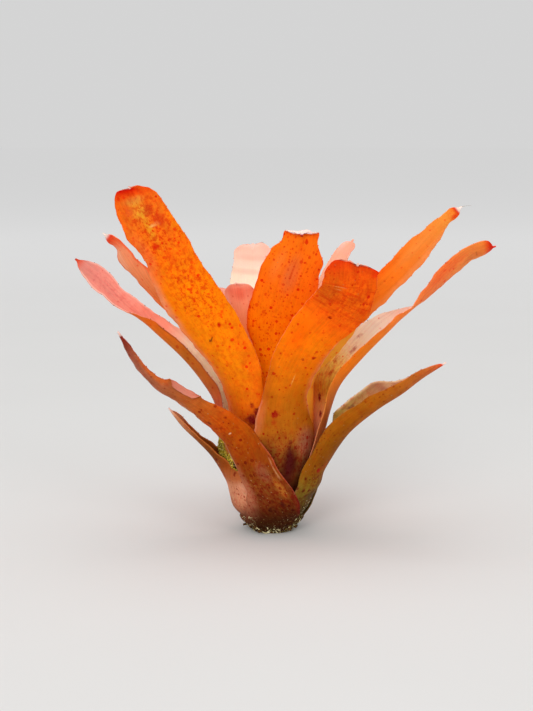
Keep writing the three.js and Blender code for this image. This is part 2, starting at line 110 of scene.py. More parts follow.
# Outside of the stem, and of the old sheath feet drawn down over it: height and radius
STEM_LINE = [(0.0, CUT_RADIUS), (1.3, 13.0), (4.2, 14.6), (6.8, 17.8), (8.0, 18.9)]
HEM_LINE = [(0.0, 13.4), (1.3, 13.9), (4.2, 15.6), (6.8, 18.7), (8.0, 19.6), (9.0, 20.0), (12.0, 20.0)]
LAST_HEM_LAYER = 1
HEM_ROWS = 8
HEM_BOTTOM = 2.4
HEM_INSET = 0.35
HEM_RAGGED = 0.35

# Waves of a hem's lower edge: height and how many go round
HEM_WAVES = [(0.5, 5), (0.4, 13), (0.35, 31)]
SECOND_LAYER_SHOWS = [(129, 214), (317, 360)]

# The leaves, in millimetres and degrees. t is a share of the leaf's length, from foot to tip.
# layer: which sheath it is, counted from the outermost. turn: its bearing at the foot and at the cup's rim.
# cup: height over which the sheath follows the cup. blade: points of the midrib above that.
# width: rows of t, left and right half width. roll: rows of t and twist of the blade about its midrib.
# curl: rows of t, left and right half of the arc that the blade's channel bends through.
# tip: length over which the end rounds off, and how square it is.
# crest: rows of side and how far the tip's edge reaches beyond its curve there.
# recurve: rows of side and depth of the tip's edge that bends back, and how far it bends.
# lobe: t, half length, width and bend of a flap of the right margin. bulge: how far the foot swells.
# spacing: distance from spine to spine, where it isn't SPINE_SPACING.
LEAVES = {
    "leaf_low_front_left": dict(
        slot="leaf_ochre", layer=0, turn=(-83, -112), cup=30,
        blade=[(-22, -30, 61), (-34, -36, 74), (-50, -41, 87), (-69, -45, 98.5), (-81, -47, 113.5),
               (-91, -48, 131)],
        width=[(0, 22, 14), (0.05, 18, 18.5), (0.1, 13.5, 20.5), (0.16, 9.2, 20.5), (0.26, 8.5, 17),
               (0.34, 10, 13.5), (0.46, 10, 12), (0.58, 8.8, 7.5), (0.7, 7, 8.5), (0.79, 4.6, 4.5),
               (0.87, 4.2, 3.2), (0.94, 3, 2.6)],
        tip=(14, 1.6),
        roll=[(0.5, 0), (0.7, -8), (1, -8)],
        curl=[(0.4, 45, 45), (0.9, 50, 50)], lobe=(0.665, 0.08, 4.4, 165)),
    "leaf_bottom_left": dict(
        slot="leaf_ochre", layer=1, turn=(175, 180), cup=20,
        blade=[(-37, -3, 47), (-46, -4, 57), (-55, -5, 66), (-64, -6, 78)],
        width=[(0, 15, 18), (0.1, 17, 26), (0.2, 19, 31), (0.33, 16, 29), (0.43, 11, 16), (0.54, 8, 8),
               (0.7, 5, 5)],
        tip=(14, 2),
        curl=[(0.5, 70, 70), (0.9, 80, 80)], bulge=1.8),
    "leaf_low_right": dict(
        slot="leaf_ochre", layer=1, turn=(-25, -25), cup=12,
        blade=[(28, -13, 31), (30, -14, 38), (34, -16, 46), (40, -18, 56), (48, -22, 67), (64, -26, 81),
               (78, -30, 91), (90, -33, 101), (104, -36, 110.8)],
        width=[(0, 15, 14), (0.1, 18, 14), (0.18, 17.5, 14), (0.3, 16, 17), (0.45, 17.5, 24),
               (0.64, 16, 23), (0.76, 12.5, 14), (0.86, 10.5, 9.5), (0.93, 8, 7)],
        tip=(16, 2),
        curl=[(0.3, 60, 45), (0.45, 68, 110), (0.7, 60, 110), (0.82, 50, 70), (1, 50, 50)]),
    "leaf_long_left": dict(
        slot="leaf_salmon", layer=2, turn=(165, 172), cup=34,
        blade=[(-35, 2, 80), (-43, 1, 94), (-55, 0, 109), (-72, 0, 125), (-90, 0, 142), (-106, 0, 158),
               (-121, 0, 170)],
        width=[(0, 15, 15), (0.15, 20, 21), (0.36, 16, 15.5), (0.55, 15, 13), (0.66, 12, 10.5),
               (0.76, 7.2, 7), (0.83, 5.6, 8.6), (0.9, 7, 9.3)],
        tip=(22, 1.8),
        roll=[(0.68, 0), (0.78, -38), (1, -45)],
        curl=[(0.31, 36, 34), (0.42, 88, 80), (0.52, 88, 85), (0.64, 90, 95), (0.73, 80, 85),
              (0.79, 28, 28), (1, 15, 15)], spacing=9.2),
    "leaf_long_right": dict(
        slot="leaf_orange", layer=2, turn=(5, 2), cup=34,
        blade=[(36, 0, 76), (41.5, 0, 91.5), (54.5, 0, 108), (76.5, -1, 130.5), (92, -1, 144),
               (108, -2, 160), (123, -3, 173), (137, -3, 178)],
        width=[(0, 15, 15), (0.15, 22, 21), (0.25, 18.5, 19.5), (0.33, 15, 25), (0.42, 13, 21),
               (0.5, 12, 21), (0.6, 10, 16), (0.7, 8, 8), (0.85, 11, 10), (0.93, 10, 9)],
        tip=(9, 2.4),
        roll=[(0.3, 0), (0.42, 12), (0.58, 15), (0.66, 0), (0.76, -28), (0.85, -36), (1, -36)],
        curl=[(0.3, 36, 46), (0.42, 90, 62), (0.56, 95, 60), (0.64, 60, 50), (0.7, 20, 20), (1, 20, 20)],
        spacing=9.2),
    "leaf_front_centre": dict(
        slot="leaf_ember", layer=3, turn=(-78, -70), cup=34,
        blade=[(8, -31, 82), (11, -36, 97), (24, -48, 124), (36, -53, 138), (47, -61, 155),
               (49, -66, 174.5)],
        width=[(0, 14, 14), (0.17, 24, 24), (0.28, 22, 22), (0.34, 18.5, 19), (0.42, 14.5, 16),
               (0.6, 17.5, 15), (0.72, 19.5, 13.5), (0.81, 20, 17.5), (0.9, 19.2, 12.8), (0.95, 18.5, 12),
               (0.975, 18, 14.5)],
        tip=(7, 2.8),
        roll=[(0.4, 0), (0.7, -12), (1, -12)],
        curl=[(0.32, 31, 36), (0.45, 33, 35), (0.75, 20, 20), (1, 10, 10)],
        recurve=([(0, 1.6)], 40),
        crest=[(-18.5, 1.0), (-17, 1.6), (-13.8, 3.2), (-9, 2.7), (-5, 2.4), (-2, 0.6), (0, -1.0), (2, 0),
               (4.4, -0.6), (10.6, -2.6), (13, -3.2)]),
    "leaf_tall_front_left": dict(
        slot="leaf_orange", layer=4, turn=(-110, -116), cup=34,
        blade=[(-18, -32, 94), (-30, -40, 119), (-39, -44, 135), (-56, -52, 162), (-71, -60, 193),
               (-82, -65, 218)],
        width=[(0, 14, 14), (0.17, 22, 20), (0.31, 16, 12), (0.48, 17.5, 18), (0.62, 19, 18.5),
               (0.74, 14.8, 17.7), (0.8, 12.2, 17.4), (0.87, 15.8, 15.6), (0.93, 15.2, 13.8),
               (0.95, 14.2, 12.8), (0.97, 12.4, 10), (0.985, 11.5, 7)],
        tip=(7, 3),
        roll=[(0.4, 8), (0.6, 18), (1, 18)],
        curl=[(0.45, 45, 40), (0.75, 20, 20), (1, 10, 10)],
        recurve=([(0, 2.0)], 50),
        crest=[(-13, 0.8), (-9, 1.6), (-5, 0.9), (-2, 0.4), (0, 0), (1.5, 0.5), (3, 0.4), (8, 0)]),
    "leaf_upper_right": dict(
        slot="leaf_orange", layer=5, turn=(-35, -35), cup=34,
        blade=[(19, -18, 102), (31, -24, 124), (45, -29, 143), (64, -33, 156), (82, -37, 175),
               (96, -40, 191), (111, -43, 204)],
        width=[(0, 13, 13), (0.15, 15, 19), (0.3, 12, 16.6), (0.38, 10, 15.2), (0.5, 10, 18),
               (0.6, 9, 17), (0.67, 8, 12), (0.72, 7.4, 10), (0.84, 6.8, 9.5), (0.89, 4.8, 8),
               (0.95, 3.6, 3.5)],
        tip=(5, 2),
        roll=[(0.3, -10), (0.43, -42), (0.6, -45), (1, -45)],
        curl=[(0.45, 40, 40), (0.75, 15, 15), (1, 15, 15)]),
    "leaf_slim_left": dict(
        slot="leaf_orange", layer=5, turn=(-165, -165), cup=34,
        blade=[(-26, -11, 94), (-46, -15, 124), (-67, -19, 145), (-77, -23, 158), (-87, -26, 173),
               (-92, -27, 181), (-101, -28, 187.5)],
        width=[(0, 13, 13), (0.15, 20, 20), (0.38, 10, 10), (0.6, 11, 11), (0.82, 9.5, 9.5), (0.89, 9, 5),
               (0.94, 4, 3)],
        tip=(7, 2.2),
        roll=[(0.4, 0), (0.6, 15), (0.8, 20), (0.9, 42), (1, 42)],
        curl=[(0.45, 40, 40), (0.75, 25, 25), (1, 15, 15)]),
    "leaf_upright_centre": dict(
        slot="leaf_ember", layer=6, turn=(-95, -90), cup=34,
        blade=[(2, -15, 91), (3, -18, 116), (5, -24, 143), (10, -28, 163), (15, -30, 176),
               (18, -32, 190)],
        width=[(0, 12, 12), (0.17, 17, 15), (0.38, 11, 12), (0.5, 13, 16), (0.65, 19.5, 18),
               (0.8, 17.5, 19.5), (0.9, 15.3, 17.2), (0.96, 10.8, 10.2)],
        tip=(4, 4),
        curl=[(0.45, 40, 40), (0.75, 15, 15), (1, 10, 10)],
        recurve=([(-12, 0.8), (-8, 2.8), (-3, 5.2), (0, 6.0), (2.5, 6.0), (4, 5.6), (6, 4.6), (8, 3.2),
                  (12, 0.8)], 170),
        crest=[(-12, 0.0), (-8, 1.95), (-3, 4.4), (0, 6.5), (2.5, 7.5), (4, 6.9), (6, 5.0), (8, 4.2),
               (12, 3.2)]),
    "leaf_back_right": dict(
        slot="leaf_cream", layer=7, turn=(50, 50), cup=34,
        blade=[(18, 22, 91), (26, 34, 128), (38, 46, 155), (46, 54, 168), (53, 58, 178)],
        width=[(0, 10, 10), (0.15, 16, 15), (0.38, 12, 12), (0.7, 10, 8), (0.9, 8, 6.5)],
        tip=(7, 2.4),
        curl=[(0.45, 40, 40), (0.75, 35, 30), (1, 30, 20)]),
    "leaf_inner_left": dict(
        slot="leaf_salmon", layer=7, turn=(-150, -150), cup=30,
        blade=[(-10, -6, 96), (-15, -9, 121), (-18, -12, 140), (-21, -14, 158.5)],
        width=[(0, 9, 9), (0.15, 12, 12), (0.38, 9, 9), (0.7, 13, 11)],
        tip=(13, 2.6),
        roll=[(0.5, 20), (1, 30)],
        curl=[(0.45, 50, 50), (0.75, 25, 25), (1, 20, 20)],
        recurve=([(0, 1.8)], 60)),
    "leaf_pale_back": dict(
        slot="leaf_cream", layer=8, turn=(105, 105), cup=34,
        blade=[(-5, 24, 90), (-9, 38, 127), (-12, 51, 152), (-12.5, 62, 176)],
        width=[(0, 10, 10), (0.15, 16, 16), (0.38, 12, 12), (0.7, 13, 15), (0.82, 13, 16),
               (0.92, 13, 13)],
        tip=(10, 2.6),
        curl=[(0.45, 40, 40), (0.75, 25, 25), (1, 10, 10)],
        crest=[(-14, 2.4), (-6, 2.8), (-1.5, 1.4), (0, -1.2), (1.5, 0.8), (6, 0.6), (14, -0.4)]),
    "leaf_heart_right": dict(
        slot="leaf_ochre", layer=9, turn=(-10, -10), cup=24,
        blade=[(11, -2, 72), (15, -3, 92)],
        width=[(0, 7, 7), (0.25, 10, 10), (0.6, 8, 8), (0.8, 7, 7)],
        tip=(16, 2),
        curl=[(0.45, 60, 60), (0.75, 50, 50), (1, 40, 40)]),
    "leaf_heart_left": dict(
        slot="leaf_ochre", layer=9, turn=(170, 170), cup=22,
        blade=[(-11, 2, 66), (-14, 2, 82)],
        width=[(0, 7, 7), (0.25, 8, 8), (0.6, 7.5, 8), (0.8, 7, 7)],
        tip=(16, 2),
        curl=[(0.45, 60, 60), (0.75, 50, 50), (1, 40, 40)]),
    "leaf_back_low": dict(
        slot="leaf_ochre", layer=0, turn=(46, 68), cup=26,
        blade=[(12, 37, 50), (14, 56, 68), (12, 78, 86), (4, 98, 98), (-4, 112, 103)],
        width=[(0, 16, 14), (0.07, 21, 18), (0.15, 27.5, 20), (0.22, 24, 18), (0.38, 13, 14),
               (0.7, 15, 15)],
        tip=(30, 2),
        curl=[(0.4, 60, 60), (0.7, 40, 40), (1, 25, 25)]),
    "leaf_back_right_long": dict(
        slot="leaf_orange", layer=3, turn=(70, 66), cup=34,
        blade=[(15, 43, 82), (24, 63, 108), (33, 85, 130), (43, 108, 142)],
        width=[(0, 14, 14), (0.15, 19, 22), (0.28, 13, 16), (0.38, 12, 13), (0.7, 16, 16)],
        tip=(18, 2.4),
        curl=[(0.4, 50, 50), (0.7, 30, 30), (1, 15, 15)],
        recurve=([(0, 1.8)], 50)),
    "leaf_back_left_long": dict(
        slot="leaf_orange", layer=4, turn=(112, 114), cup=34,
        blade=[(-18, 41, 86), (-28, 61, 114), (-38, 83, 134), (-48, 104, 142)],
        width=[(0, 13, 13), (0.15, 20, 17.5), (0.38, 13, 12), (0.7, 16, 16)],
        tip=(18, 2.4),
        curl=[(0.4, 50, 50), (0.7, 30, 30), (1, 15, 15)],
        recurve=([(0, 1.8)], 50)),
    "leaf_back_middle": dict(
        slot="leaf_ember", layer=6, turn=(85, 84), cup=34,
        blade=[(4, 33, 90), (8, 52, 118), (12, 73, 142), (14, 94, 156)],
        width=[(0, 12, 12), (0.15, 17, 18), (0.38, 12, 12), (0.7, 15, 15)],
        tip=(16, 2.4),
        curl=[(0.4, 45, 45), (0.7, 25, 25), (1, 15, 15)],
        recurve=([(0, 1.8)], 50)),
}

# Colours are sRGB, 0 to 255. t is a share of the leaf's length, side runs from -1, left margin, to 1, right.
# outer, inner: rows of t and colour, for the lower and the upper face.
# wash: soft areas: t, side, half length and half width as shares, colour, strength.
# stain: ragged areas: the same, with the two halves in millimetres.
# edge: lines along a margin: from t, to t, margin, inset and half width in millimetres, colour, strength.
# rust, dotted: areas of fine mottle and of spots: t, side, half length, half width, strength.
# A last item "inner" puts an area or a line on the upper face.
# dots, mottle, streak, scurf: strength of spots, clouds, lengthwise streaks and scurf on the leaf as a whole.
# bands: t and strength of dark cross bands. spine: colour of the spines. hair: length of the tip's thread.
PAINT = {
    "leaf_tall_front_left": dict(
        outer=[(0, (110, 55, 20)), (0.15, (160, 74, 16)), (0.22, (196, 88, 12)), (0.3, (226, 104, 10)),
               (0.42, (246, 128, 6)), (0.55, (253, 130, 3)), (0.68, (253, 126, 3)), (0.8, (248, 114, 10)),
               (0.9, (242, 110, 22)), (0.955, (240, 104, 20)), (0.97, (234, 78, 10)),
               (0.982, (222, 34, 2)), (0.99, (214, 22, 0)), (0.994, (250, 226, 214)),
               (1, (252, 234, 224))],
        inner=[(0, (200, 150, 90)), (0.3, (240, 190, 140)), (0.6, (250, 185, 155)), (1, (250, 165, 140))],
        wash=[(0.66, -1.0, 0.14, 0.3, (240, 142, 96), 0.9),
              (0.46, -1.0, 0.12, 0.26, (236, 132, 86), 0.75),
              (0.3, -0.95, 0.08, 0.3, (214, 104, 56), 0.6),
              (0.925, -0.05, 0.035, 0.4, (228, 146, 40), 0.85),
              (0.87, 0.0, 0.05, 0.16, (232, 150, 30), 0.7), (0.8, -0.75, 0.09, 0.4, (245, 112, 52), 0.6),
              (0.92, -1.0, 0.06, 0.22, (255, 108, 20), 0.8),
              (0.55, -0.35, 0.12, 0.4, (246, 132, 6), 0.45), (0.42, 0.75, 0.14, 0.35, (240, 98, 8), 0.5),
              (0.26, 0.15, 0.05, 0.5, (150, 48, 14), 0.45), (0.985, 0.8, 0.024, 0.5, (240, 88, 14), 0.8),
              (0.86, 0.95, 0.07, 0.2, (250, 124, 4), 0.7),
              (0.955, -0.1, 0.012, 0.55, (230, 150, 60), 0.6)],
        stain=[(0.92, 0.3, 3.4, 2.6, (206, 60, 14), 0.75), (0.885, 0.5, 4, 3, (214, 60, 12), 0.8),
               (0.93, -0.45, 3, 3, (226, 84, 34), 0.6), (0.83, 0.55, 4, 2.2, (228, 66, 10), 0.45),
               (0.78, 0.2, 5, 2.4, (240, 78, 8), 0.55), (0.72, 0.6, 6, 2, (240, 72, 6), 0.5),
               (0.822, -0.1, 2.0, 1.9, (222, 50, 6), 0.95), (0.877, 0.2, 0.8, 2.2, (252, 178, 96), 0.85),
               (0.639, -0.27, 1.1, 1.0, (226, 62, 2), 0.85), (0.554, 0.35, 1.2, 1.1, (206, 24, 0), 1.0),
               (0.524, -0.17, 0.9, 0.75, (112, 44, 12), 1.0),
               (0.529, -0.08, 0.5, 0.6, (112, 44, 12), 0.9), (0.628, -0.33, 0.4, 0.5, (150, 54, 12), 0.9),
               (0.612, -0.31, 0.4, 0.4, (150, 54, 12), 0.9), (0.253, -0.2, 1.8, 1.4, (130, 26, 20), 0.8),
               (0.268, 0.18, 3.2, 2.2, (110, 16, 16), 0.9), (0.285, 0.5, 3.0, 2.0, (124, 20, 14), 0.85),
               (0.25, 0.4, 3.0, 2.4, (96, 16, 16), 0.8), (0.31, 0.3, 2.0, 1.2, (150, 30, 10), 0.7),
               (0.27, -0.05, 1.6, 1.2, (136, 26, 16), 0.75)],
        rust=[(0.86, 0.1, 0.15, 1.2, 1.0), (0.68, 0.35, 0.17, 1.0, 1.0), (0.45, 0.2, 0.2, 1.0, 0.4)],
        dotted=[(0.27, 0.2, 0.05, 0.9, 0.9), (0.5, 0.6, 0.2, 0.45, 0.6), (0.75, 0.2, 0.15, 1.0, 0.5)],
        dots=0.25, mottle=0.9, streak=0.35),
    "leaf_slim_left": dict(
        outer=[(0, (150, 80, 30)), (0.3, (208, 96, 30)), (0.5, (232, 112, 42)), (0.66, (240, 108, 26)),
               (0.8, (240, 132, 76)), (0.92, (244, 148, 104)), (0.96, (238, 96, 52)),
               (0.978, (234, 62, 30)), (0.987, (250, 226, 216)), (1, (255, 238, 230))],
        inner=[(0, (220, 150, 110)), (0.5, (250, 170, 140)), (1, (250, 180, 155))],
        wash=[(0.9, -0.6, 0.06, 0.4, (250, 176, 140), 0.5), (0.7, 0.1, 0.1, 0.3, (226, 104, 40), 0.5)],
        edge=[(0.45, 0.97, 1, 0, 1.1, (240, 88, 38), 0.7), (0.45, 0.97, -1, 0, 0.9, (240, 96, 46), 0.6)],
        dots=0.12, mottle=0.35, streak=0.8),
    "leaf_long_left": dict(
        outer=[(0, (110, 60, 30)), (0.14, (164, 80, 50)), (0.24, (186, 74, 48)), (0.34, (190, 82, 50)),
               (0.44, (192, 98, 36)), (0.54, (192, 104, 30)), (0.62, (214, 108, 28)),
               (0.7, (226, 106, 26)), (0.82, (235, 115, 60)), (1, (238, 112, 80))],
        # The pale cream strip of the upper face, t 0.2 to 0.55, is the leaf's own colour painted lighter
        # still: painted light against the shade of leaf_tall_front_left over it
        inner=[(0, (190, 150, 80)), (0.2, (255, 238, 176)), (0.32, (255, 248, 204)),
               (0.44, (255, 246, 214)), (0.55, (255, 232, 204)), (0.64, (252, 166, 140)),
               (0.8, (249, 148, 130)), (0.91, (240, 146, 130)), (0.965, (222, 138, 124)),
               (0.987, (222, 84, 56)), (1, (190, 50, 26))],
        wash=[(0.9, 0.1, 0.09, 0.5, (226, 124, 112), 0.45, "inner"),
              (0.77, 0.0, 0.08, 0.35, (236, 130, 114), 0.5, "inner"),
              (0.21, 0.4, 0.05, 0.5, (176, 158, 40), 0.9), (0.3, 0.85, 0.08, 0.3, (196, 66, 48), 0.6)],
        stain=[(0.215, 0.45, 2.2, 2, (86, 80, 20), 0.9), (0.2, 0.2, 1.6, 2, (86, 76, 20), 0.85),
               (0.232, 0.6, 1.2, 1.2, (100, 88, 24), 0.8), (0.31, 0.7, 3, 1.4, (166, 34, 28), 0.7)],
        edge=[(0.7, 0.97, 1, 0, 0.9, (255, 204, 188), 0.75, "inner"),
              (0.7, 0.97, -1, 0, 0.8, (255, 196, 180), 0.6, "inner"),
              (0.3, 0.68, 1, 0, 0.5, (140, 60, 36), 0.6)],
        rust=[(0.84, 0.0, 0.14, 1.1, 0.3, "inner")], spine=(110, 44, 26),
        dots=0.14, mottle=0.6, streak=0.6),
    "leaf_low_front_left": dict(
        outer=[(0, (72, 32, 8)), (0.05, (92, 38, 8)), (0.1, (112, 48, 12)), (0.17, (132, 62, 20)),
               (0.24, (138, 64, 12)), (0.31, (156, 66, 6)), (0.39, (178, 78, 6)), (0.47, (196, 80, 6)),
               (0.56, (190, 92, 26)), (0.66, (178, 93, 44)), (0.78, (164, 92, 62)), (0.89, (158, 84, 60)),
               (0.95, (134, 48, 34)), (0.978, (126, 38, 26)), (0.986, (240, 214, 204)),
               (1, (246, 226, 216))],
        inner=[(0, (110, 62, 32)), (0.3, (150, 84, 62)), (0.55, (205, 120, 96)), (0.66, (212, 128, 106)),
               (0.8, (205, 118, 96)), (1, (240, 190, 180))],
        wash=[(0.8, -0.9, 0.22, 0.7, (190, 124, 104), 0.8),
              (0.62, -0.85, 0.12, 0.45, (196, 122, 74), 0.6),
              (0.78, 0.85, 0.14, 0.45, (200, 92, 28), 0.75),
              (0.235, 0.45, 0.04, 0.28, (152, 84, 58), 0.65),
              (0.17, 0.68, 0.05, 0.14, (196, 118, 42), 0.6), (0.1, 0.9, 0.08, 0.1, (130, 34, 20), 0.5),
              (0.12, -0.2, 0.06, 0.5, (126, 56, 22), 0.5), (0.66, 0.9, 0.06, 0.3, (120, 52, 34), 0.7),
              (0.13, -1.0, 0.17, 0.6, (182, 108, 78), 0.85)],
        stain=[(0.3, 0.0, 5, 3, (140, 54, 6), 0.4), (0.1, 0.45, 2.2, 1.4, (70, 20, 12), 0.75),
               (0.075, 0.05, 2.5, 2.5, (66, 22, 10), 0.6), (0.13, -0.1, 3, 3, (88, 32, 12), 0.5),
               (0.5, -0.3, 1.4, 1.0, (116, 40, 16), 0.8), (0.416, 0.1, 0.6, 0.8, (226, 190, 140), 1.0),
               (0.16, 0.3, 0.35, 0.35, (230, 200, 150), 1.0),
               (0.21, -0.2, 0.35, 0.35, (226, 190, 140), 1.0), (0.47, 0.35, 0.4, 0.4, (110, 40, 16), 0.9),
               (0.28, 0.4, 0.8, 0.8, (120, 40, 14), 0.7)],
        edge=[(0.26, 0.56, -1, 0, 0.8, (192, 150, 116), 0.8),
              (0.02, 0.17, 1, 0.5, 0.8, (122, 16, 14), 0.85),
              (0.12, 0.34, 1, 0.1, 0.4, (196, 90, 64), 0.8),
              (0.2, 0.29, 1, 2.0, 0.3, (206, 140, 96), 0.6),
              (0.2, 0.28, 1, 3.1, 0.25, (196, 130, 84), 0.5)],
        rust=[(0.13, 0.2, 0.2, 1.3, 1.0), (0.4, 0.0, 0.16, 1.0, 0.5)],
        dotted=[(0.12, 0.4, 0.14, 1.0, 0.8)],
        dots=0.25, mottle=1.1, streak=0.8, scurf=0.1),
    "leaf_bottom_left": dict(
        outer=[(0, (150, 86, 58)), (0.06, (210, 136, 98)), (0.2, (216, 142, 106)), (0.27, (212, 136, 98)),
               (0.34, (182, 98, 52)), (0.42, (146, 68, 18)), (0.52, (124, 64, 18)), (0.7, (146, 80, 34)),
               (0.9, (204, 132, 90)), (0.95, (226, 164, 128)), (1, (250, 226, 214))],
        inner=[(0, (90, 46, 20)), (0.4, (120, 58, 14)), (0.8, (140, 70, 26)), (0.95, (200, 140, 110)),
               (1, (240, 214, 200))],
        wash=[(0.06, 0.3, 0.06, 0.8, (176, 100, 74), 0.4), (0.26, 0.9, 0.06, 0.3, (214, 150, 120), 0.6)],
        stain=[(0.41, 0.2, 0.7, 0.6, (236, 196, 150), 0.9), (0.46, 0.5, 0.6, 0.5, (236, 190, 140), 0.9)],
        edge=[(0.3, 0.97, -1, 0, 0.6, (214, 120, 54), 0.6, "inner"),
              (0.3, 0.97, 1, 0, 0.5, (220, 128, 60), 0.5)],
        rust=[(0.12, 0.2, 0.16, 1.2, 0.45)], dotted=[(0.15, 0.4, 0.16, 1.0, 0.6)],
        dots=0.2, mottle=0.8, streak=0.7, scurf=0.1),
    "leaf_upright_centre": dict(
        outer=[(0, (160, 70, 18)), (0.3, (246, 116, 6)), (0.5, (255, 142, 2)), (0.65, (255, 126, 3)),
               (0.8, (252, 112, 12)), (0.9, (252, 116, 14)), (0.955, (252, 118, 16)),
               (0.97, (248, 100, 14)), (0.982, (246, 110, 50)), (0.9885, (246, 150, 120)),
               (0.992, (150, 20, 14)), (1, (140, 16, 12))],
        inner=[(0, (220, 160, 110)), (0.5, (250, 190, 165)), (0.95, (255, 222, 212)),
               (0.99, (255, 226, 218)), (0.994, (190, 60, 44)), (1, (150, 16, 12))],
        wash=[(0.84, 0.05, 0.08, 0.32, (236, 112, 50), 0.8),
              (0.86, -0.5, 0.07, 0.25, (244, 128, 50), 0.5), (0.6, -1.0, 0.25, 0.1, (226, 46, 0), 0.6),
              (0.6, 0.4, 0.12, 0.4, (252, 92, 0), 0.3), (0.85, 0.9, 0.1, 0.22, (246, 92, 16), 0.5)],
        stain=[(0.85, 0.06, 7, 0.35, (214, 62, 10), 0.75), (0.84, 0.16, 6, 0.3, (218, 70, 14), 0.7),
               (0.83, -0.03, 5, 0.3, (222, 76, 18), 0.6), (0.68, -0.1, 0.4, 3.5, (222, 60, 6), 0.6),
               (0.93, 0.1, 2, 2, (246, 74, 6), 0.5)],
        dotted=[(0.62, -0.9, 0.2, 0.3, 1.0), (0.62, 0.1, 0.3, 1.2, 0.95), (0.85, 0.0, 0.1, 1.0, 0.7)],
        rust=[(0.6, -0.2, 0.25, 1.0, 0.3)],
        dots=0.75, mottle=0.4, streak=0.45),
    "leaf_front_centre": dict(
        outer=[(0, (60, 26, 12)), (0.09, (78, 32, 16)), (0.14, (98, 46, 16)), (0.19, (120, 62, 18)),
               (0.25, (160, 86, 26)), (0.31, (176, 94, 16)), (0.38, (186, 96, 12)), (0.45, (208, 106, 8)),
               (0.52, (230, 114, 6)), (0.6, (246, 116, 4)), (0.68, (255, 118, 4)), (0.76, (250, 102, 8)),
               (0.84, (238, 98, 8)), (0.91, (238, 94, 8)), (0.955, (232, 84, 10)), (0.978, (226, 68, 8)),
               (0.987, (214, 50, 6)), (0.992, (240, 180, 150)), (0.996, (252, 232, 220)),
               (1, (252, 232, 220))],
        inner=[(0, (180, 140, 80)), (0.3, (235, 180, 140)), (0.6, (248, 180, 150)), (1, (250, 150, 120))],
        wash=[(0.36, -0.95, 0.07, 0.26, (208, 108, 62), 0.75), (0.22, -0.7, 0.08, 0.5, (98, 44, 10), 0.8),
              (0.25, 0.62, 0.06, 0.4, (166, 96, 70), 0.8), (0.17, 0.6, 0.04, 0.35, (122, 66, 42), 0.7),
              (0.52, 0.95, 0.16, 0.25, (242, 126, 62), 0.7), (0.45, -0.92, 0.12, 0.2, (198, 92, 14), 0.6),
              (0.965, 0.95, 0.03, 0.35, (238, 48, 4), 0.75), (0.97, -0.8, 0.02, 0.4, (232, 58, 8), 0.6),
              (0.86, -0.7, 0.08, 0.4, (200, 86, 14), 0.7), (0.66, -0.55, 0.06, 0.3, (250, 90, 0), 0.5),
              (0.64, 0.3, 0.06, 0.4, (250, 128, 6), 0.6), (0.185, 0.07, 0.085, 0.26, (76, 22, 14), 1.0),
              (0.37, 0.1, 0.08, 0.3, (186, 104, 12), 0.5)],
        stain=[(0.371, -0.38, 1.9, 2.2, (160, 22, 8), 0.85), (0.345, -0.4, 1.5, 1.8, (176, 40, 10), 0.6),
               (0.2, 0.05, 9, 1.6, (78, 18, 18), 0.7), (0.268, 0.1, 1.2, 1.0, (120, 26, 16), 0.7),
               (0.769, -0.17, 0.8, 1.1, (172, 34, 0), 1.0), (0.589, -0.02, 0.7, 1.1, (182, 48, 8), 0.95),
               (0.604, 0.4, 0.8, 1.0, (182, 48, 8), 0.95), (0.9, 0.5, 1.6, 6, (206, 58, 6), 0.5),
               (0.87, 0.1, 1.4, 9, (196, 66, 8), 0.5), (0.82, 0.2, 1.4, 8, (206, 66, 8), 0.5),
               (0.9, -0.45, 0.4, 3.5, (236, 150, 80), 0.7), (0.885, -0.5, 0.3, 2.5, (236, 150, 80), 0.6),
               (0.5, 0.0, 3.6, 0.25, (246, 170, 80), 0.75)],
        edge=[(0.33, 0.72, 1, 0, 0.8, (246, 146, 90), 0.8),
              (0.27, 0.42, -1, 0, 0.8, (232, 140, 100), 0.6)],
        dotted=[(0.24, 0.0, 0.1, 1.3, 1.0), (0.36, 0.0, 0.08, 1.0, 0.5)],
        rust=[(0.86, 0.2, 0.15, 1.2, 0.6), (0.2, 0.0, 0.14, 1.2, 0.8)],
        dots=0.2, mottle=0.9, streak=0.5, bands=(0.85, 0.85)),
    "leaf_upper_right": dict(
        # The lower blade, t 0.3 to 0.53, is the leaf's own orange painted lighter: painted light against the
        # shade of the leaf in front of it
        outer=[(0, (150, 70, 18)), (0.3, (255, 174, 54)), (0.45, (255, 170, 52)), (0.53, (255, 160, 44)),
               (0.61, (255, 124, 23)), (0.75, (252, 122, 28)), (0.88, (251, 136, 52)),
               (0.95, (253, 150, 56)), (0.974, (252, 132, 44)), (0.983, (228, 46, 12)),
               (0.989, (250, 228, 214)), (1, (255, 238, 228))],
        inner=[(0, (210, 150, 100)), (0.5, (250, 180, 150)), (1, (252, 190, 165))],
        wash=[(0.68, -0.85, 0.16, 0.4, (243, 100, 14), 0.7), (0.8, 0.9, 0.2, 0.35, (253, 146, 80), 0.7),
              (0.97, 0.6, 0.014, 0.6, (232, 46, 12), 0.8), (0.84, -0.2, 0.08, 0.4, (250, 146, 62), 0.5)],
        stain=[(0.72, -0.1, 0.7, 0.7, (235, 85, 15), 0.9), (0.74, 0.1, 0.6, 0.6, (240, 85, 15), 0.9)],
        rust=[(0.62, 0.0, 0.1, 1.0, 0.3)],
        dots=0.08, mottle=0.4, streak=0.4, hair=5.5),
    "leaf_long_right": dict(
        outer=[(0, (90, 50, 34)), (0.14, (136, 74, 52)), (0.21, (200, 116, 70)), (0.28, (210, 116, 58)),
               (0.36, (210, 116, 44)), (0.45, (255, 134, 30)), (0.52, (255, 138, 36)),
               (0.64, (255, 134, 56)), (0.8, (255, 128, 64)), (0.92, (255, 146, 66)),
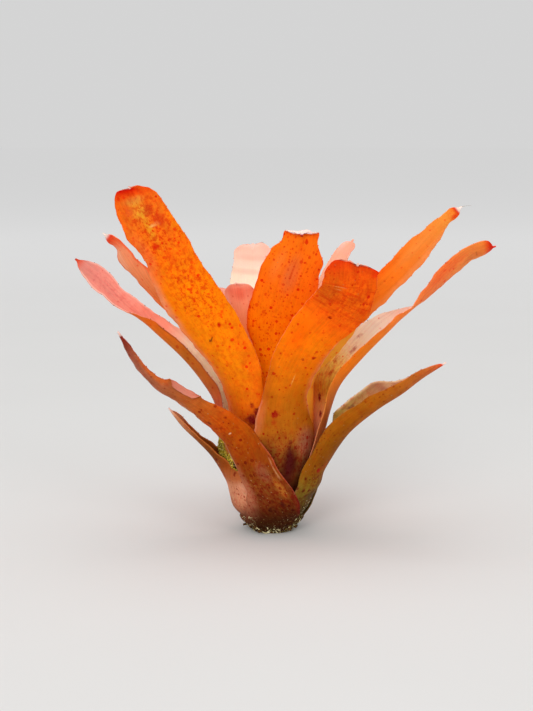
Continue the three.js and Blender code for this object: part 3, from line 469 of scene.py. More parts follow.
               (0.962, (255, 136, 54)), (0.975, (246, 86, 28)), (0.984, (222, 36, 8)), (1, (220, 24, 8))],
        # The pale strip of the upper face, t 0.2 to 0.43, is the leaf's own colour painted lighter: painted
        # light against the shade of the leaf in front of it
        inner=[(0, (160, 90, 76)), (0.2, (240, 156, 122)), (0.27, (252, 176, 118)),
               (0.35, (248, 182, 56)), (0.43, (252, 200, 96)), (0.5, (255, 220, 180)),
               (0.57, (255, 232, 208)), (0.66, (255, 200, 176)), (0.8, (250, 170, 150)),
               (1, (250, 160, 140))],
        wash=[(0.85, -0.6, 0.1, 0.5, (246, 98, 44), 0.6),
              (0.37, 0.3, 0.05, 0.4, (178, 132, 30), 0.5, "inner"),
              (0.24, 0.6, 0.05, 0.5, (186, 98, 62), 0.5), (0.93, 0.2, 0.04, 0.6, (214, 96, 40), 0.5)],
        stain=[(0.325, 0.75, 2.6, 1.2, (150, 22, 24), 0.9, "inner"),
               (0.4, 0.6, 2.2, 1.3, (204, 86, 30), 0.8, "inner"),
               (0.43, 0.75, 2.0, 1.0, (206, 92, 36), 0.7, "inner"),
               (0.49, 0.5, 3, 1.2, (204, 128, 106), 0.8, "inner"),
               (0.53, 0.7, 2.2, 1.0, (206, 134, 112), 0.7, "inner"),
               (0.2, 0.6, 12, 0.7, (104, 44, 44), 0.8), (0.17, 0.3, 10, 0.8, (96, 38, 40), 0.8),
               (0.16, 0.85, 8, 0.8, (92, 34, 36), 0.8), (0.28, 0.6, 2, 1.6, (150, 26, 24), 0.8, "inner"),
               (0.94, 0.1, 0.7, 4, (190, 90, 30), 0.6)],
        edge=[(0.3, 0.66, 1, 0, 0.55, (250, 150, 84), 0.7),
              (0.3, 0.66, 1, 0, 0.5, (255, 214, 180), 0.6, "inner")],
        rust=[(0.4, 0.6, 0.12, 0.8, 0.6, "inner"), (0.85, 0.0, 0.14, 1.0, 0.3)], spine=(120, 50, 26),
        dots=0.1, mottle=0.4, streak=0.7),
    "leaf_low_right": dict(
        outer=[(0, (84, 66, 20)), (0.08, (108, 78, 24)), (0.15, (124, 92, 22)), (0.22, (140, 84, 12)),
               (0.3, (142, 76, 6)), (0.4, (144, 80, 6)), (0.52, (164, 86, 4)), (0.66, (176, 94, 12)),
               (0.8, (184, 98, 28)), (0.92, (206, 104, 46)), (0.965, (214, 96, 46)),
               (0.98, (224, 60, 26)), (0.988, (250, 222, 208)), (1, (252, 232, 220))],
        inner=[(0, (120, 96, 36)), (0.3, (164, 126, 56)), (0.45, (184, 148, 70)), (0.58, (186, 140, 84)),
               (0.68, (184, 124, 92)), (0.8, (196, 132, 100)), (1, (245, 200, 180))],
        wash=[(0.5, -0.95, 0.28, 0.3, (178, 98, 18), 0.5), (0.8, -0.9, 0.14, 0.3, (190, 104, 24), 0.4),
              (0.14, -0.9, 0.08, 0.5, (136, 104, 30), 0.6), (0.09, 0.2, 0.08, 0.8, (92, 70, 22), 0.5),
              (0.5, 0.9, 0.25, 0.2, (132, 74, 20), 0.5),
              (0.71, 0.9, 0.03, 0.2, (240, 200, 150), 0.6, "inner")],
        stain=[(0.251, -0.35, 1.6, 1.5, (150, 26, 12), 0.9), (0.27, -0.1, 4, 2.4, (186, 70, 8), 0.5),
               (0.12, -0.2, 3, 3, (80, 48, 16), 0.65), (0.2, 0.3, 1.6, 1.6, (106, 56, 14), 0.6),
               (0.52, 0.8, 2.4, 1.6, (110, 54, 40), 0.7, "inner"),
               (0.1, 0.5, 2.5, 2.5, (70, 40, 14), 0.6)],
        edge=[(0.45, 0.82, 1, 0, 0.8, (246, 212, 166), 0.8, "inner"),
              (0.86, 0.98, 1, 0, 0.7, (240, 190, 170), 0.7, "inner"),
              (0.02, 0.16, -1, 0, 0.8, (150, 106, 70), 0.6)],
        rust=[(0.15, 0.0, 0.16, 1.2, 0.7), (0.55, 0.9, 0.14, 0.5, 0.5, "inner")],
        dotted=[(0.14, 0.0, 0.14, 1.2, 0.9)],
        dots=0.25, mottle=1.1, streak=0.7, scurf=0.08),
    "leaf_pale_back": dict(
        outer=[(0, (200, 110, 60)), (0.5, (245, 140, 90)), (1, (250, 170, 150))],
        inner=[(0, (220, 180, 120)), (0.5, (255, 236, 204)), (0.8, (255, 246, 218)),
               (0.89, (255, 226, 204)), (0.965, (253, 200, 178)), (0.985, (254, 216, 200)),
               (1, (253, 206, 188))],
        wash=[(0.93, 0.0, 0.014, 1.2, (251, 186, 164), 0.6, "inner"),
              (0.87, 0.1, 0.014, 1.2, (252, 192, 170), 0.55, "inner"),
              (0.95, -0.8, 0.05, 0.4, (250, 186, 168), 0.5, "inner")],
        stain=[(0.8, 0.96, 0.7, 0.6, (214, 70, 50), 0.9, "inner")],
        dots=0.03, mottle=0.2, streak=0.2),
    "leaf_inner_left": dict(
        # The salmon of the lower face is the leaf's own colour painted lighter: painted light against the
        # shade of leaf_tall_front_left and leaf_upright_centre in front of it
        outer=[(0, (220, 110, 70)), (0.5, (255, 150, 92)), (0.8, (255, 160, 108)), (0.9, (255, 162, 126)),
               (0.955, (248, 130, 100)), (0.978, (252, 166, 140)), (1, (255, 216, 204))],
        inner=[(0, (230, 160, 120)), (1, (253, 196, 178))],
        wash=[(0.93, 0.05, 0.03, 0.35, (236, 92, 66), 0.5),
              (0.9, -0.85, 0.06, 0.3, (252, 180, 156), 0.8)],
        stain=[(0.962, 0.05, 1.4, 1.8, (222, 76, 52), 0.5)],
        dots=0.08, mottle=0.3, streak=0.35),
    "leaf_back_right": dict(
        outer=[(0, (200, 110, 60)), (0.5, (245, 130, 80)), (1, (246, 150, 120))],
        inner=[(0, (220, 160, 100)), (0.5, (246, 170, 130)), (0.75, (251, 172, 138)),
               (1, (252, 178, 150))],
        wash=[(0.97, 0.8, 0.04, 0.5, (255, 205, 190), 0.5, "inner"),
              (0.72, 0.3, 0.08, 0.6, (240, 130, 84), 0.5, "inner")],
        edge=[(0.6, 0.96, -1, 0, 0.6, (252, 206, 186), 0.6, "inner")],
        dots=0.03, mottle=0.25, streak=0.3),
}

HIDDEN_PAINT = dict(
    outer=[(0, (120, 62, 22)), (0.2, (180, 88, 22)), (0.4, (226, 104, 14)), (0.7, (244, 110, 14)),
           (0.92, (240, 94, 24)), (0.97, (236, 52, 12)), (0.985, (250, 222, 210)), (1, (250, 226, 214))],
    inner=[(0, (170, 130, 70)), (0.3, (225, 175, 120)), (0.6, (250, 182, 150)), (0.95, (250, 160, 138)),
           (1, (235, 110, 90))],
    wash=[(0.6, -1.0, 0.25, 0.2, (244, 140, 90), 0.7), (0.8, 0.1, 0.2, 0.4, (240, 132, 30), 0.4),
          (0.75, 0.0, 0.12, 0.6, (236, 130, 112), 0.5, "inner")],
    stain=[(0.8, 0.3, 5, 3, (220, 66, 10), 0.6), (0.55, -0.4, 1.2, 1.2, (200, 40, 5), 1.0)],
    rust=[(0.8, 0.0, 0.18, 1.1, 0.7)], dotted=[(0.3, 0.0, 0.2, 1.2, 0.7)],
    dots=0.3, mottle=0.5, streak=0.5)

LOW_PAINT = dict(
    outer=[(0, (70, 46, 22)), (0.08, (108, 76, 42)), (0.2, (126, 80, 26)), (0.4, (158, 84, 16)),
           (0.8, (186, 100, 34)), (0.97, (200, 112, 60)), (0.985, (244, 218, 204)), (1, (244, 218, 204))],
    inner=[(0, (130, 100, 50)), (0.3, (170, 132, 66)), (0.7, (200, 140, 104)), (1, (225, 160, 140))],
    stain=[(0.14, -0.5, 3, 2, (84, 46, 18), 0.7), (0.4, 0.3, 3, 2, (130, 50, 16), 0.6)],
    rust=[(0.15, 0.0, 0.2, 1.2, 0.7)], dotted=[(0.15, 0.0, 0.2, 1.2, 0.8)],
    dots=0.3, mottle=0.6, streak=0.7, scurf=0.3)

HEART_PAINT = dict(
    outer=[(0, (190, 140, 80)), (0.5, (226, 140, 70)), (0.95, (236, 110, 70)), (1, (250, 220, 205))],
    inner=[(0, (200, 180, 110)), (0.5, (240, 190, 130)), (0.95, (246, 170, 130)), (1, (240, 90, 60))],
    dots=0.4, mottle=0.3, streak=0.4)

PAINT["leaf_back_low"] = LOW_PAINT
PAINT["leaf_heart_right"] = HEART_PAINT
PAINT["leaf_heart_left"] = HEART_PAINT

# Strength of spots, scurf and mottle on the upper face, as shares of the lower face's
INNER_MARKS = 0.25
INNER_MOTTLE = 0.4

# Darker brown towards the ground on the outer sheaths, part their own colour and part painted shade, with
# rust mottle and scurf: how high it reaches, its colour, and its strength as tint, mottle and scurf
LOW_MARKS_HEIGHT = 26.0
LOW_BROWN_AND_SHADE = (58, 28, 8)
LOW_BROWN_AND_SHADE_STRENGTH = 0.8
DIRT_RUST = 0.7
DIRT_SCURF = 0.9

# As shares of the leaf's length, the fading ends of a margin's line and half a patch of cross bands
EDGE_FADE = 0.02
BAND_HALF = 0.09

# Where a leaf's paint gives no scurf or stain
PLAIN_SCURF = 0.01
PLAIN_STAIN = (205, 28, 0)


def smooth(x):
    """Ease from 0 to 1."""
    c = np.clip(x, 0, 1)
    return c * c * (3 - 2 * c)


def station(rows, t, column):
    """Value at t of rows (t, value, value...), eased from row to row."""
    value = np.full(np.shape(t), float(rows[0][column]))
    for before, after in zip(rows[:-1], rows[1:]):
        rise = smooth((t - before[0]) / (after[0] - before[0]))
        value = np.where(t >= before[0], before[column] + (after[column] - before[column]) * rise, value)
    return value


def linear(colour):
    """sRGB 0 to 255 as linear light."""
    c = np.asarray(colour, float) / 255
    return np.where(c <= 0.04045, c / 12.92, ((c + 0.055) / 1.055) ** 2.4)


def cup_radius(z, layer):
    """Radius of the cup at a height, for a sheath's layer."""
    h = max(z - FOOT_HEIGHT - layer * LAYER_RISE, 0.0)
    flare = CUP_FLARE * (1 - math.exp(-h / CUP_FLARE_HEIGHT))
    return FOOT_RADIUS - LAYER_INSET * layer + flare + CUP_SLOPE * h


def compass(degrees, radius, z):
    """Point at a bearing from +X, a distance from the axis and a height."""
    return np.array([radius * math.cos(math.radians(degrees)), radius * math.sin(math.radians(degrees)), z])


def unit(vectors):
    """The vectors at a length of 1."""
    return vectors / (np.linalg.norm(vectors, axis=-1)[..., None] + 1e-9)


def centripetal(points, steps=60):
    """Centripetal Catmull-Rom curve through the points."""
    p = np.array(points, float)
    p = np.vstack([2 * p[0] - p[1], p, 2 * p[-1] - p[-2]])
    pieces = []
    for i in range(1, len(p) - 2):
        a, b, c, d = p[i - 1:i + 3]
        d0, d1, d2 = [max(np.linalg.norm(p[j + 1] - p[j]), 1e-4) ** 0.5 for j in (i - 1, i, i + 1)]
        m1 = ((b - a) / d0 - (c - a) / (d0 + d1) + (c - b) / d1) * d1
        m2 = ((c - b) / d1 - (d - b) / (d1 + d2) + (d - c) / d2) * d1
        u = np.linspace(0, 1, steps, endpoint=False)[:, None]
        pieces.append(b + m1 * u + (3 * (c - b) - 2 * m1 - m2) * u ** 2 + (2 * (b - c) + m1 + m2) * u ** 3)
    pieces.append(p[-2][None])
    return np.vstack(pieces)


class Rib:
    """Midrib of a leaf: up the cup, then through the blade points, with a frame at every step."""

    def __init__(self, leaf):
        self.leaf = leaf
        self.foot = FOOT_HEIGHT + leaf["layer"] * LAYER_RISE
        first_turn, last_turn = leaf["turn"]
        hug = []
        for share in HUG_SHARES:
            z = self.foot + share * leaf["cup"]
            turn = first_turn + (last_turn - first_turn) * share
            hug.append(compass(turn, cup_radius(z, leaf["layer"]), z))
        line = centripetal(hug + [np.array(p, float) for p in leaf["blade"]])
        run = np.concatenate([[0], np.cumsum(np.linalg.norm(np.diff(line, axis=0), axis=1))])
        at = np.linspace(0, run[-1], MIDRIB_STEPS + 1)
        self.points = np.stack([np.interp(at, run, line[:, k]) for k in range(3)], 1)
        self.length = run[-1]
        self.leave = np.linalg.norm(np.diff(np.array(hug), axis=0), axis=1).sum() / self.length
        along = unit(np.gradient(self.points, axis=0))
        side = np.zeros(3)
        sides = []
        for i in range(MIDRIB_STEPS + 1):
            if i / MIDRIB_STEPS < self.leave:
                side = np.array([-self.points[i, 1], self.points[i, 0], 0.0])
            side = side - (side @ along[i]) * along[i]
            side = side / np.linalg.norm(side)
            sides.append(side)
        sides = np.array(sides)
        roll_rows = [(0, 0), (self.leave, 0)] + leaf.get("roll", [(1, 0)])
        roll = np.radians(station(roll_rows, np.linspace(0, 1, MIDRIB_STEPS + 1), 1))[:, None]
        self.across = sides * np.cos(roll) + np.cross(along, sides) * np.sin(roll)
        self.inward = np.cross(along, self.across)
        rim_radius = math.hypot(hug[-1][0], hug[-1][1])
        rim_widths = [float(station(leaf["width"], self.leave, k)) for k in (1, 2)]
        rim = [math.degrees(RIM_SHARE * width / rim_radius) for width in rim_widths]
        self.curl = [(self.leave, *rim)] + leaf["curl"]

    def half_width(self, t, f):
        """Half width on the side of f: the leaf's rows, rounded off at the tip down to a short point."""
        tip_length, power = self.leaf["tip"]
        end = 1 - APICULUS / self.length
        start = end - tip_length / self.length
        x = np.clip((t - start) / (end - start), 0, 1)
        width = np.where(f < 0, station(self.leaf["width"], t, 1), station(self.leaf["width"], t, 2))
        body = width * (1 - x ** power) ** (1 / power)
        neck = end - NECK_LENGTH / self.length
        point = NECK_HALF_WIDTH - NECK_TAPER * (t - neck) / (1 - neck)
        return np.where(t > neck, np.maximum(body, point), body)

    def surface(self, t, f, width):
        """Middle of the blade at length share t and side f, from -1 (left margin) to 1 (right margin)."""
        k = t * MIDRIB_STEPS
        i = np.clip(k.astype(int), 0, MIDRIB_STEPS - 1)
        u = (k - i)[..., None]
        frames = (self.points, self.across, self.inward)
        point, across, inward = [a[i] * (1 - u) + a[i + 1] * u for a in frames]
        radius = np.hypot(point[..., 0], point[..., 1])
        turn = np.arctan2(point[..., 1], point[..., 0]) + f * width / radius
        hug = np.stack([radius * np.cos(turn), radius * np.sin(turn), point[..., 2]], -1)
        half = np.radians(np.where(f < 0, station(self.curl, t, 1), station(self.curl, t, 2)))
        bend = width / half
        angle = np.abs(f) * half
        open_point = point + across * (np.sign(f) * bend * np.sin(angle))[..., None]
        open_point = open_point + inward * (bend * (1 - np.cos(angle)))[..., None]
        opening = OPENING * self.leave
        share = smooth((t - opening) / opening)[..., None]
        return hug * (1 - share) + open_point * share


def shares_along(rib):
    """Rows along the leaf, close together where the tip rounds off."""
    start = 1 - (rib.leaf["tip"][0] + APICULUS) / rib.length
    count = round(start * rib.length / ROW_STEP)
    tip = start + (1 - start) * np.sin(np.linspace(0, math.pi / 2, TIP_ROWS + 1))[1:]
    return np.concatenate([np.linspace(0, start, count + 1), tip])


def waves(draw, length, sizes):
    """Sum of sine waves along the leaf: sizes are (height, wavelength) pairs."""
    phases = draw.uniform(0, CIRCLE, len(sizes))
    return sum(h * np.sin(CIRCLE * length / w + p) for (h, w), p in zip(sizes, phases))


def recurve(points, facing, heading, reach, depth, degrees):
    """Bends the last stretch before the tip outward. It starts depth short of the tip, and what lies past
    the tip goes on straight."""
    bend = math.radians(degrees)
    over = np.clip(depth - reach, 0, None)
    angle = bend * np.minimum(over / depth, 1)
    past = np.maximum(over - depth, 0)
    radius = depth / bend
    forward = radius * np.sin(angle) + past * math.cos(bend) - over
    outward = radius * (1 - np.cos(angle)) + past * math.sin(bend)
    return points + heading * forward[..., None] - facing * outward[..., None]


def fold_over(rib, t, f, width):
    """Blade with a lobe of the right margin turned outward and down over the lower face."""
    at, half, spare, degrees = rib.leaf["lobe"]
    window = smooth((half - np.abs(t - at)) / (0.55 * half))
    side = f * (width + np.where(f > 0, spare * window, 0))
    crease = np.maximum(width - CREASE_INSET, 0.1)
    beyond = np.clip(side - crease, 0, None)
    line = rib.surface(t, crease / width, width)
    beside = rib.surface(t, (crease - CREASE_INSET) / width, width)
    across = unit(line - beside)
    along = unit(np.gradient(line, axis=0))
    outward = unit(np.cross(across, along))
    angle = np.minimum(beyond / FOLD_RADIUS, math.radians(degrees)) * window
    rest = beyond - angle * FOLD_RADIUS
    sideways = FOLD_RADIUS * np.sin(angle) + rest * np.cos(angle)
    down = FOLD_RADIUS * (1 - np.cos(angle)) + rest * np.sin(angle)
    flat = rib.surface(t, np.clip(side / width, -1, crease / width), width)
    folded = line + across * sideways[..., None] + outward * down[..., None]
    return np.where((beyond > 0)[..., None], folded, flat), side


def along_line(line, z):
    """Radius at a height of a line of (height, radius) points."""
    return np.interp(z, [p[0] for p in line], [p[1] for p in line])


def hem_rows(rib, side, draw):
    """Ragged old foot of an outer sheath, drawn down over the stem: lowest row first."""
    layer = rib.leaf["layer"]
    top_radius = cup_radius(rib.foot, layer)
    turn = math.radians(rib.leaf["turn"][0]) + side / top_radius
    phase = draw.uniform(0, 6.28, 4)
    bottom = HEM_BOTTOM
    for (height, count), start in zip(HEM_WAVES, phase):
        bottom = bottom + height * np.sin(count * turn + start)
    bottom = bottom + draw.uniform(-HEM_RAGGED, HEM_RAGGED, len(turn))
    rows = []
    for share in np.linspace(0, 1, HEM_ROWS, endpoint=False):
        z = bottom + (rib.foot - bottom) * share
        radius = along_line(HEM_LINE, z) - HEM_INSET * layer
        join = smooth((z - FOOT_HEIGHT) / max(rib.foot - FOOT_HEIGHT, 0.5))
        radius = radius + (top_radius - radius) * join
        radius = radius + 0.12 * np.sin(17 * turn + 0.9 * z + phase[3])
        rows.append(np.stack([radius * np.cos(turn), radius * np.sin(turn), z], -1))
    return np.array(rows)


class Skin:
    """Vertices, faces and their paint, gathered for one mesh."""

    def __init__(self):
        self.parts = []
        self.faces = []
        self.count = 0

    def add(self, points, faces, uv=(0, 0), tint=(0, 0, 0), marks=(0, 0, 0), extra=(0, 0, 0), stain=(0, 0, 0),
            rust=(0,)):
        """Adds points with their faces. Each kind of paint is one value for all of them, or one a point."""
        points = np.asarray(points, float).reshape(-1, 3)
        n = len(points)
        rows = [np.broadcast_to(np.asarray(a, float).reshape(-1, k), (n, k))
                for a, k in ((uv, 2), (tint, 3), (marks, 3), (extra, 3), (stain, 3), (rust, 1))]
        self.parts.append([points] + rows)
        self.faces += [[self.count + i for i in face] for face in faces]
        self.count += n

    def build(self, name, material):
        """One object of all the faces, with the paint as attributes that the material reads."""
        points, uv, tint, marks, extra, stain, rust = [np.concatenate(a) for a in zip(*self.parts)]
        mesh = bpy.data.meshes.new(name)
        mesh.from_pydata((points * MM).tolist(), [], self.faces)
        corners = np.zeros(len(mesh.loops), np.int32)
        mesh.loops.foreach_get("vertex_index", corners)
        layer = mesh.uv_layers.new(name="Leaf")
        layer.data.foreach_set("uv", uv[corners].astype(np.float32).ravel())
        for label, values in (("tint", tint), ("stain_tint", stain)):
            colour = mesh.color_attributes.new(label, "FLOAT_COLOR", "POINT")
            rgba = np.concatenate([values, np.ones((len(values), 1))], 1)
            colour.data.foreach_set("color", rgba.astype(np.float32).ravel())
        for label, values in (("marks", marks), ("extra", extra)):
            vector = mesh.attributes.new(label, "FLOAT_VECTOR", "POINT")
            vector.data.foreach_set("vector", values.astype(np.float32).ravel())
        share = mesh.attributes.new("rust", "FLOAT", "POINT")
        share.data.foreach_set("value", rust.astype(np.float32).ravel())
        mesh.polygons.foreach_set("use_smooth", np.ones(len(mesh.polygons), bool))
        mesh.materials.append(material)
        mesh.update()
        piece = bpy.data.objects.new(name, mesh)
        bpy.context.scene.collection.objects.link(piece)
        return piece


def colour_along(rows, t):
    """Linear colour at t of rows of t and sRGB colour."""
    table = np.array([linear(colour) for _, colour in rows])
    at = [row[0] for row in rows]
    return np.stack([np.interp(t, at, table[:, k]) for k in range(3)], -1)


def on_face(rows, count, face):
    """The rows that belong to a face, each cut to its first count values."""
    return [row[:count] for row in rows if (row[count] if len(row) > count else "outer") == face]


def area(row, t, f):
    """Soft oval area, 1 in the middle."""
    at, side, half_length, half_width = row[:4]
    return smooth(1.25 - np.hypot((t - at) / half_length, (f - side) / half_width))


def margin_line(row, t, f, width):
    """Strength of a line along a margin, fading out at its two ends."""
    start, stop, margin, inset, half_width = row[:5]
    far = np.abs((1 - margin * f) * width - inset)
    return smooth(1.4 - far / half_width) * smooth((t - start) / EDGE_FADE) * smooth((stop - t) / EDGE_FADE)


def painted(paint, face, t, f, rib, width):
    """Tint, ragged-stain strength and stain tint at points of one face of a leaf."""
    tint = colour_along(paint[face], t)
    for row in on_face(paint.get("wash", []), 6, face):
        share = (row[5] * area(row, t, f))[..., None]
        tint = tint * (1 - share) + linear(row[4]) * share
    for row in on_face(paint.get("edge", []), 7, face):
        share = (row[6] * margin_line(row, t, f, width))[..., None]
        tint = tint * (1 - share) + linear(row[5]) * share
    stain = np.zeros(np.shape(t))
    weight = np.full(np.shape(t) + (1,), 1e-6)
    stain_tint = weight * linear(PLAIN_STAIN)
    for at, side, half_length, half_width, colour, strength in on_face(paint.get("stain", []), 6, face):
        far = np.hypot((t - at) * rib.length / half_length, (f - side) * width / half_width)
        share = strength * np.clip(1.5 - 0.75 * far, 0, 1)
        stain = np.maximum(stain, share)
        weight = weight + share[..., None]
        stain_tint = stain_tint + share[..., None] * linear(colour)
    return tint, stain, stain_tint / weight


def strewn(paint, key, face, t, f, start):
    """Strength of spots or mottle: a level for the whole face, and its areas on top."""
    value = np.zeros(np.shape(t)) + start
    for row in on_face(paint.get(key, []), 5, face):
        value = np.maximum(value, row[4] * area(row, t, f))
    return value


def coat(paint, face, t, f, rib, width, height):
    """All that the material reads from the points of one face."""
    outside = face == "outer"
    marked, mottled = (1.0, 1.0) if outside else (INNER_MARKS, INNER_MOTTLE)
    low_sheath_outside = outside and rib.leaf["layer"] <= LAST_HEM_LAYER
    low = smooth((LOW_MARKS_HEIGHT - height) / LOW_MARKS_HEIGHT) * low_sheath_outside
    tint, stain, stain_tint = painted(paint, face, t, f, rib, width)
    # Darker brown towards the ground: part the sheath's own colour, part painted shade
    brown_and_shade = (LOW_BROWN_AND_SHADE_STRENGTH * low)[..., None]
    tint = tint * (1 - brown_and_shade) + linear(LOW_BROWN_AND_SHADE) * brown_and_shade
    dots = strewn(paint, "dotted", face, t, f, paint["dots"] * marked)
    rust = strewn(paint, "rust", face, t, f, DIRT_RUST * low)
    scurf = paint.get("scurf", PLAIN_SCURF) * marked + DIRT_SCURF * low ** 2
    band_at, band_strength = paint.get("bands", (0, 0))
    bands = band_strength * smooth(1.4 - np.abs(t - band_at) / BAND_HALF)
    marks = np.stack([dots, stain, np.full(t.shape, paint["mottle"] * mottled)], -1)
    extra = np.stack([np.full(t.shape, float(paint["streak"])), scurf, bands], -1)
    return dict(tint=tint, marks=marks, extra=extra, stain=stain_tint, rust=rust)


def leaf_middle(leaf, rib, draw):
    """Middle surface of a leaf: its points, length shares, sides, half widths and sideways millimetres."""
    spread = np.linspace(-1, 1, COLUMNS + 1)
    sides = EVEN_COLUMNS * spread + (1 - EVEN_COLUMNS) * np.sin(spread * math.pi / 2)
    t, f = np.meshgrid(shares_along(rib), sides, indexing="ij")
    run = t * rib.length
    ease = smooth((t - WAVES_FROM * rib.leave) / WAVES_EASE_IN) * smooth((1 - t) / WAVES_EASE_OUT)
    width = rib.half_width(t, f)
    for margin in (-1, 1):
        width = width + np.where(np.sign(f) == margin, waves(draw, run, RIPPLES) * ease, 0)
    if "lobe" in leaf:
        middle, side = fold_over(rib, t, f, width)
    else:
        middle, side = rib.surface(t, f, width), f * width
    along = unit(np.gradient(middle, axis=0))
    normal = unit(np.cross(along, np.gradient(middle, axis=1)))
    for margin in (-1, 1):
        ruffle = waves(draw, run, RUFFLES) * np.clip(margin * f, 0, 1) ** 3 * ease
        middle = middle + normal * ruffle[..., None]
    if "bulge" in leaf:
        swell = leaf["bulge"] * np.exp(-((middle[..., 2] - BULGE_HEIGHT) / BULGE_HALF) ** 2)
        swell = swell * smooth((0.95 - f) / 0.3)
        middle = middle + unit(middle * (1, 1, 0)) * swell[..., None]
    reach = (1 - t) * rib.length - APICULUS
    heading, facing = [a[:, COLUMNS // 2][:, None] for a in (along, normal)]
    if "crest" in leaf:
        shift = station(leaf["crest"], side, 1) * smooth(1 - reach / CREST_REACH)
        middle = middle + heading * shift[..., None]
    if "recurve" in leaf:
        depths, degrees = leaf["recurve"]
        middle = recurve(middle, facing, heading, reach, station(depths, side, 1), degrees)
    if leaf["layer"] <= LAST_HEM_LAYER:
        hem = hem_rows(rib, side[0], draw)
        drop = np.linalg.norm(hem - middle[0], axis=2) / rib.length
        middle = np.concatenate([hem, middle])
        t = np.concatenate([-drop, t])
        f, width, side = [np.concatenate([np.repeat(a[:1], HEM_ROWS, 0), a]) for a in (f, width, side)]
    return middle, t, f, width, side


def leaf_skin(name, index):
    """One leaf: two faces, a rounded margin, a bent tip and marginal spines."""
    leaf = LEAVES[name]
    paint = PAINT.get(name, HIDDEN_PAINT)
    rib = Rib(leaf)
    draw = np.random.default_rng(LEAF_SEED + index)
    middle, t, f, width, side = leaf_middle(leaf, rib, draw)
    normal = unit(np.cross(np.gradient(middle, axis=0), np.gradient(middle, axis=1)))
    thick = SHEATH_THICKNESS + (BLADE_THICKNESS - SHEATH_THICKNESS) * smooth(t / (2 * rib.leave))
    thick = thick * (1 - (1 - MARGIN_SHARE) * np.abs(f) ** 3)
    uv = np.stack([side, t * rib.length], -1) + TEXTURE_STEP * index
    rows, columns = t.shape
    skin = Skin()
    coats = {}
    for face, sign in (("inner", 1), ("outer", -1)):
        coats[face] = coat(paint, face, t, f, rib, width, middle[..., 2])
        faces = []
        for i in range(rows - 1):
            for j in range(columns - 1):
                a = i * columns + j
                b = a + columns
                faces.append([a, b, b + 1, a + 1] if sign > 0 else [a, a + 1, b + 1, b])
        skin.add(middle + normal * (sign * thick / 2)[..., None], faces, uv, **coats[face])
    close_edges(skin, middle, uv, coats)
    add_spines(skin, rib, paint, draw, t[:, 0], middle, normal, thick, uv, coats["outer"]["tint"])
    if "hair" in paint:
        tip = middle[-1, columns // 2]
        add_tip_hair(skin, tip, tip - middle[-4, columns // 2], paint["hair"])
    return skin


def close_edges(skin, middle, uv, coats):
    """Joins the two faces by a rounded rim down each margin and a strip across the foot and the tip."""
    rows, columns = middle.shape[:2]
    top = 0
    under = rows * columns
    for j, beside in ((0, 1), (columns - 1, columns - 2)):
        rim = middle[:, j] + unit(middle[:, j] - middle[:, beside]) * EDGE_ROUND
        rim_coat = {key: values[:, j] for key, values in coats["outer"].items()}
        rim_coat["tint"] = 0.5 * coats["inner"]["tint"][:, j] + 0.5 * rim_coat["tint"]
        start = skin.count
        skin.add(rim, [], uv[:, j], **rim_coat)
        for i in range(rows - 1):
            a = i * columns + j
            b = a + columns
            strips = [[start + i, start + i + 1, top + b, top + a],
                      [under + a, under + b, start + i + 1, start + i]]
            skin.faces += [strip if j == 0 else strip[::-1] for strip in strips]
        for i in (0, rows - 1):
            a = i * columns + j
            corner = [top + a, start + i, under + a]
            skin.faces.append(corner[::-1] if (j == 0) == (i == 0) else corner)
    for j in range(columns - 1):
        skin.faces.append([top + j, under + j, under + j + 1, top + j + 1][::-1])
        a = (rows - 1) * columns + j
        skin.faces.append([top + a, under + a, under + a + 1, top + a + 1])


def add_spines(skin, rib, paint, draw, shares, middle, normal, thick, uv, tint):
    """Small forward-leaning teeth down both margins, in their own colour or darker than the margin."""
    run = shares * rib.length
    spacing = rib.leaf.get("spacing", SPINE_SPACING)
    for j, beside in ((0, 1), (-1, -2)):
        at = SPINE_FROM * rib.length + spacing * draw.uniform(0, 1)
        while at < SPINE_TO * rib.length:
            i = int(np.searchsorted(run, at))
            share = (at - run[i - 1]) / (run[i] - run[i - 1])
            base = middle[i - 1, j] * (1 - share) + middle[i, j] * share
            along = unit(middle[i, j] - middle[i - 1, j])
            out = middle[i, j] - middle[i, beside]
            out = unit(out - (out @ along) * along)
            size = draw.uniform(0.7, 1.25)
            points, faces = spine(base, along, out, normal[i, j], size, thick[i, j] * 0.4)
            shade = draw.uniform(0.75, 1.1)
            dark = tint[i, j] * (shade, 0.6 * shade, 0.5 * shade)
            colour = linear(paint["spine"]) * shade if "spine" in paint else dark
            skin.add(points, faces, uv[i, j], colour)
            at += spacing * draw.uniform(0.75, 1.3)


def spine(base, along, out, up, size, thin):
    """One spine: four points at the root, four halfway, and the point, which leans forward."""
    half = SPINE_BASE * size / 2
    root = base - out * SPINE_ROOT
    points = [root - along * half, root + up * thin, root + along * half, root - up * thin,
              base + out * 0.35 * size + along * (0.1 - 0.25 * half),
              base + out * 0.4 * size + up * thin * 0.45,
              base + out * 0.3 * size + along * (0.1 + 0.45 * half),
              base + out * 0.4 * size - up * thin * 0.45,
              base + out * SPINE_LENGTH * size + along * 0.5 * size]
    faces = [[0, 1, 2, 3]]
    for k in range(4):
        n = (k + 1) % 4
        faces.append([k, 4 + k, 4 + n, n])
        faces.append([4 + k, 8, 4 + n])
    if np.dot(np.cross(points[2] - points[0], points[1] - points[3]), out) < 0:
        faces = [face[::-1] for face in faces]
    return points, faces


def add_tip_hair(skin, tip, heading, length):
    """Dry thread left on the tip."""
    ahead = unit(heading * (1, 1, 0))
    steps = np.linspace(-0.1, 1, 8)
    path = [tip + ahead * length * s + np.array([0, 0, 0.7 * math.sin(2.2 * s)]) for s in steps]
    points, faces = tube(path, np.linspace(0.14, 0.05, len(steps)), 5)
    skin.add(points, faces, tint=linear((176, 166, 150)))


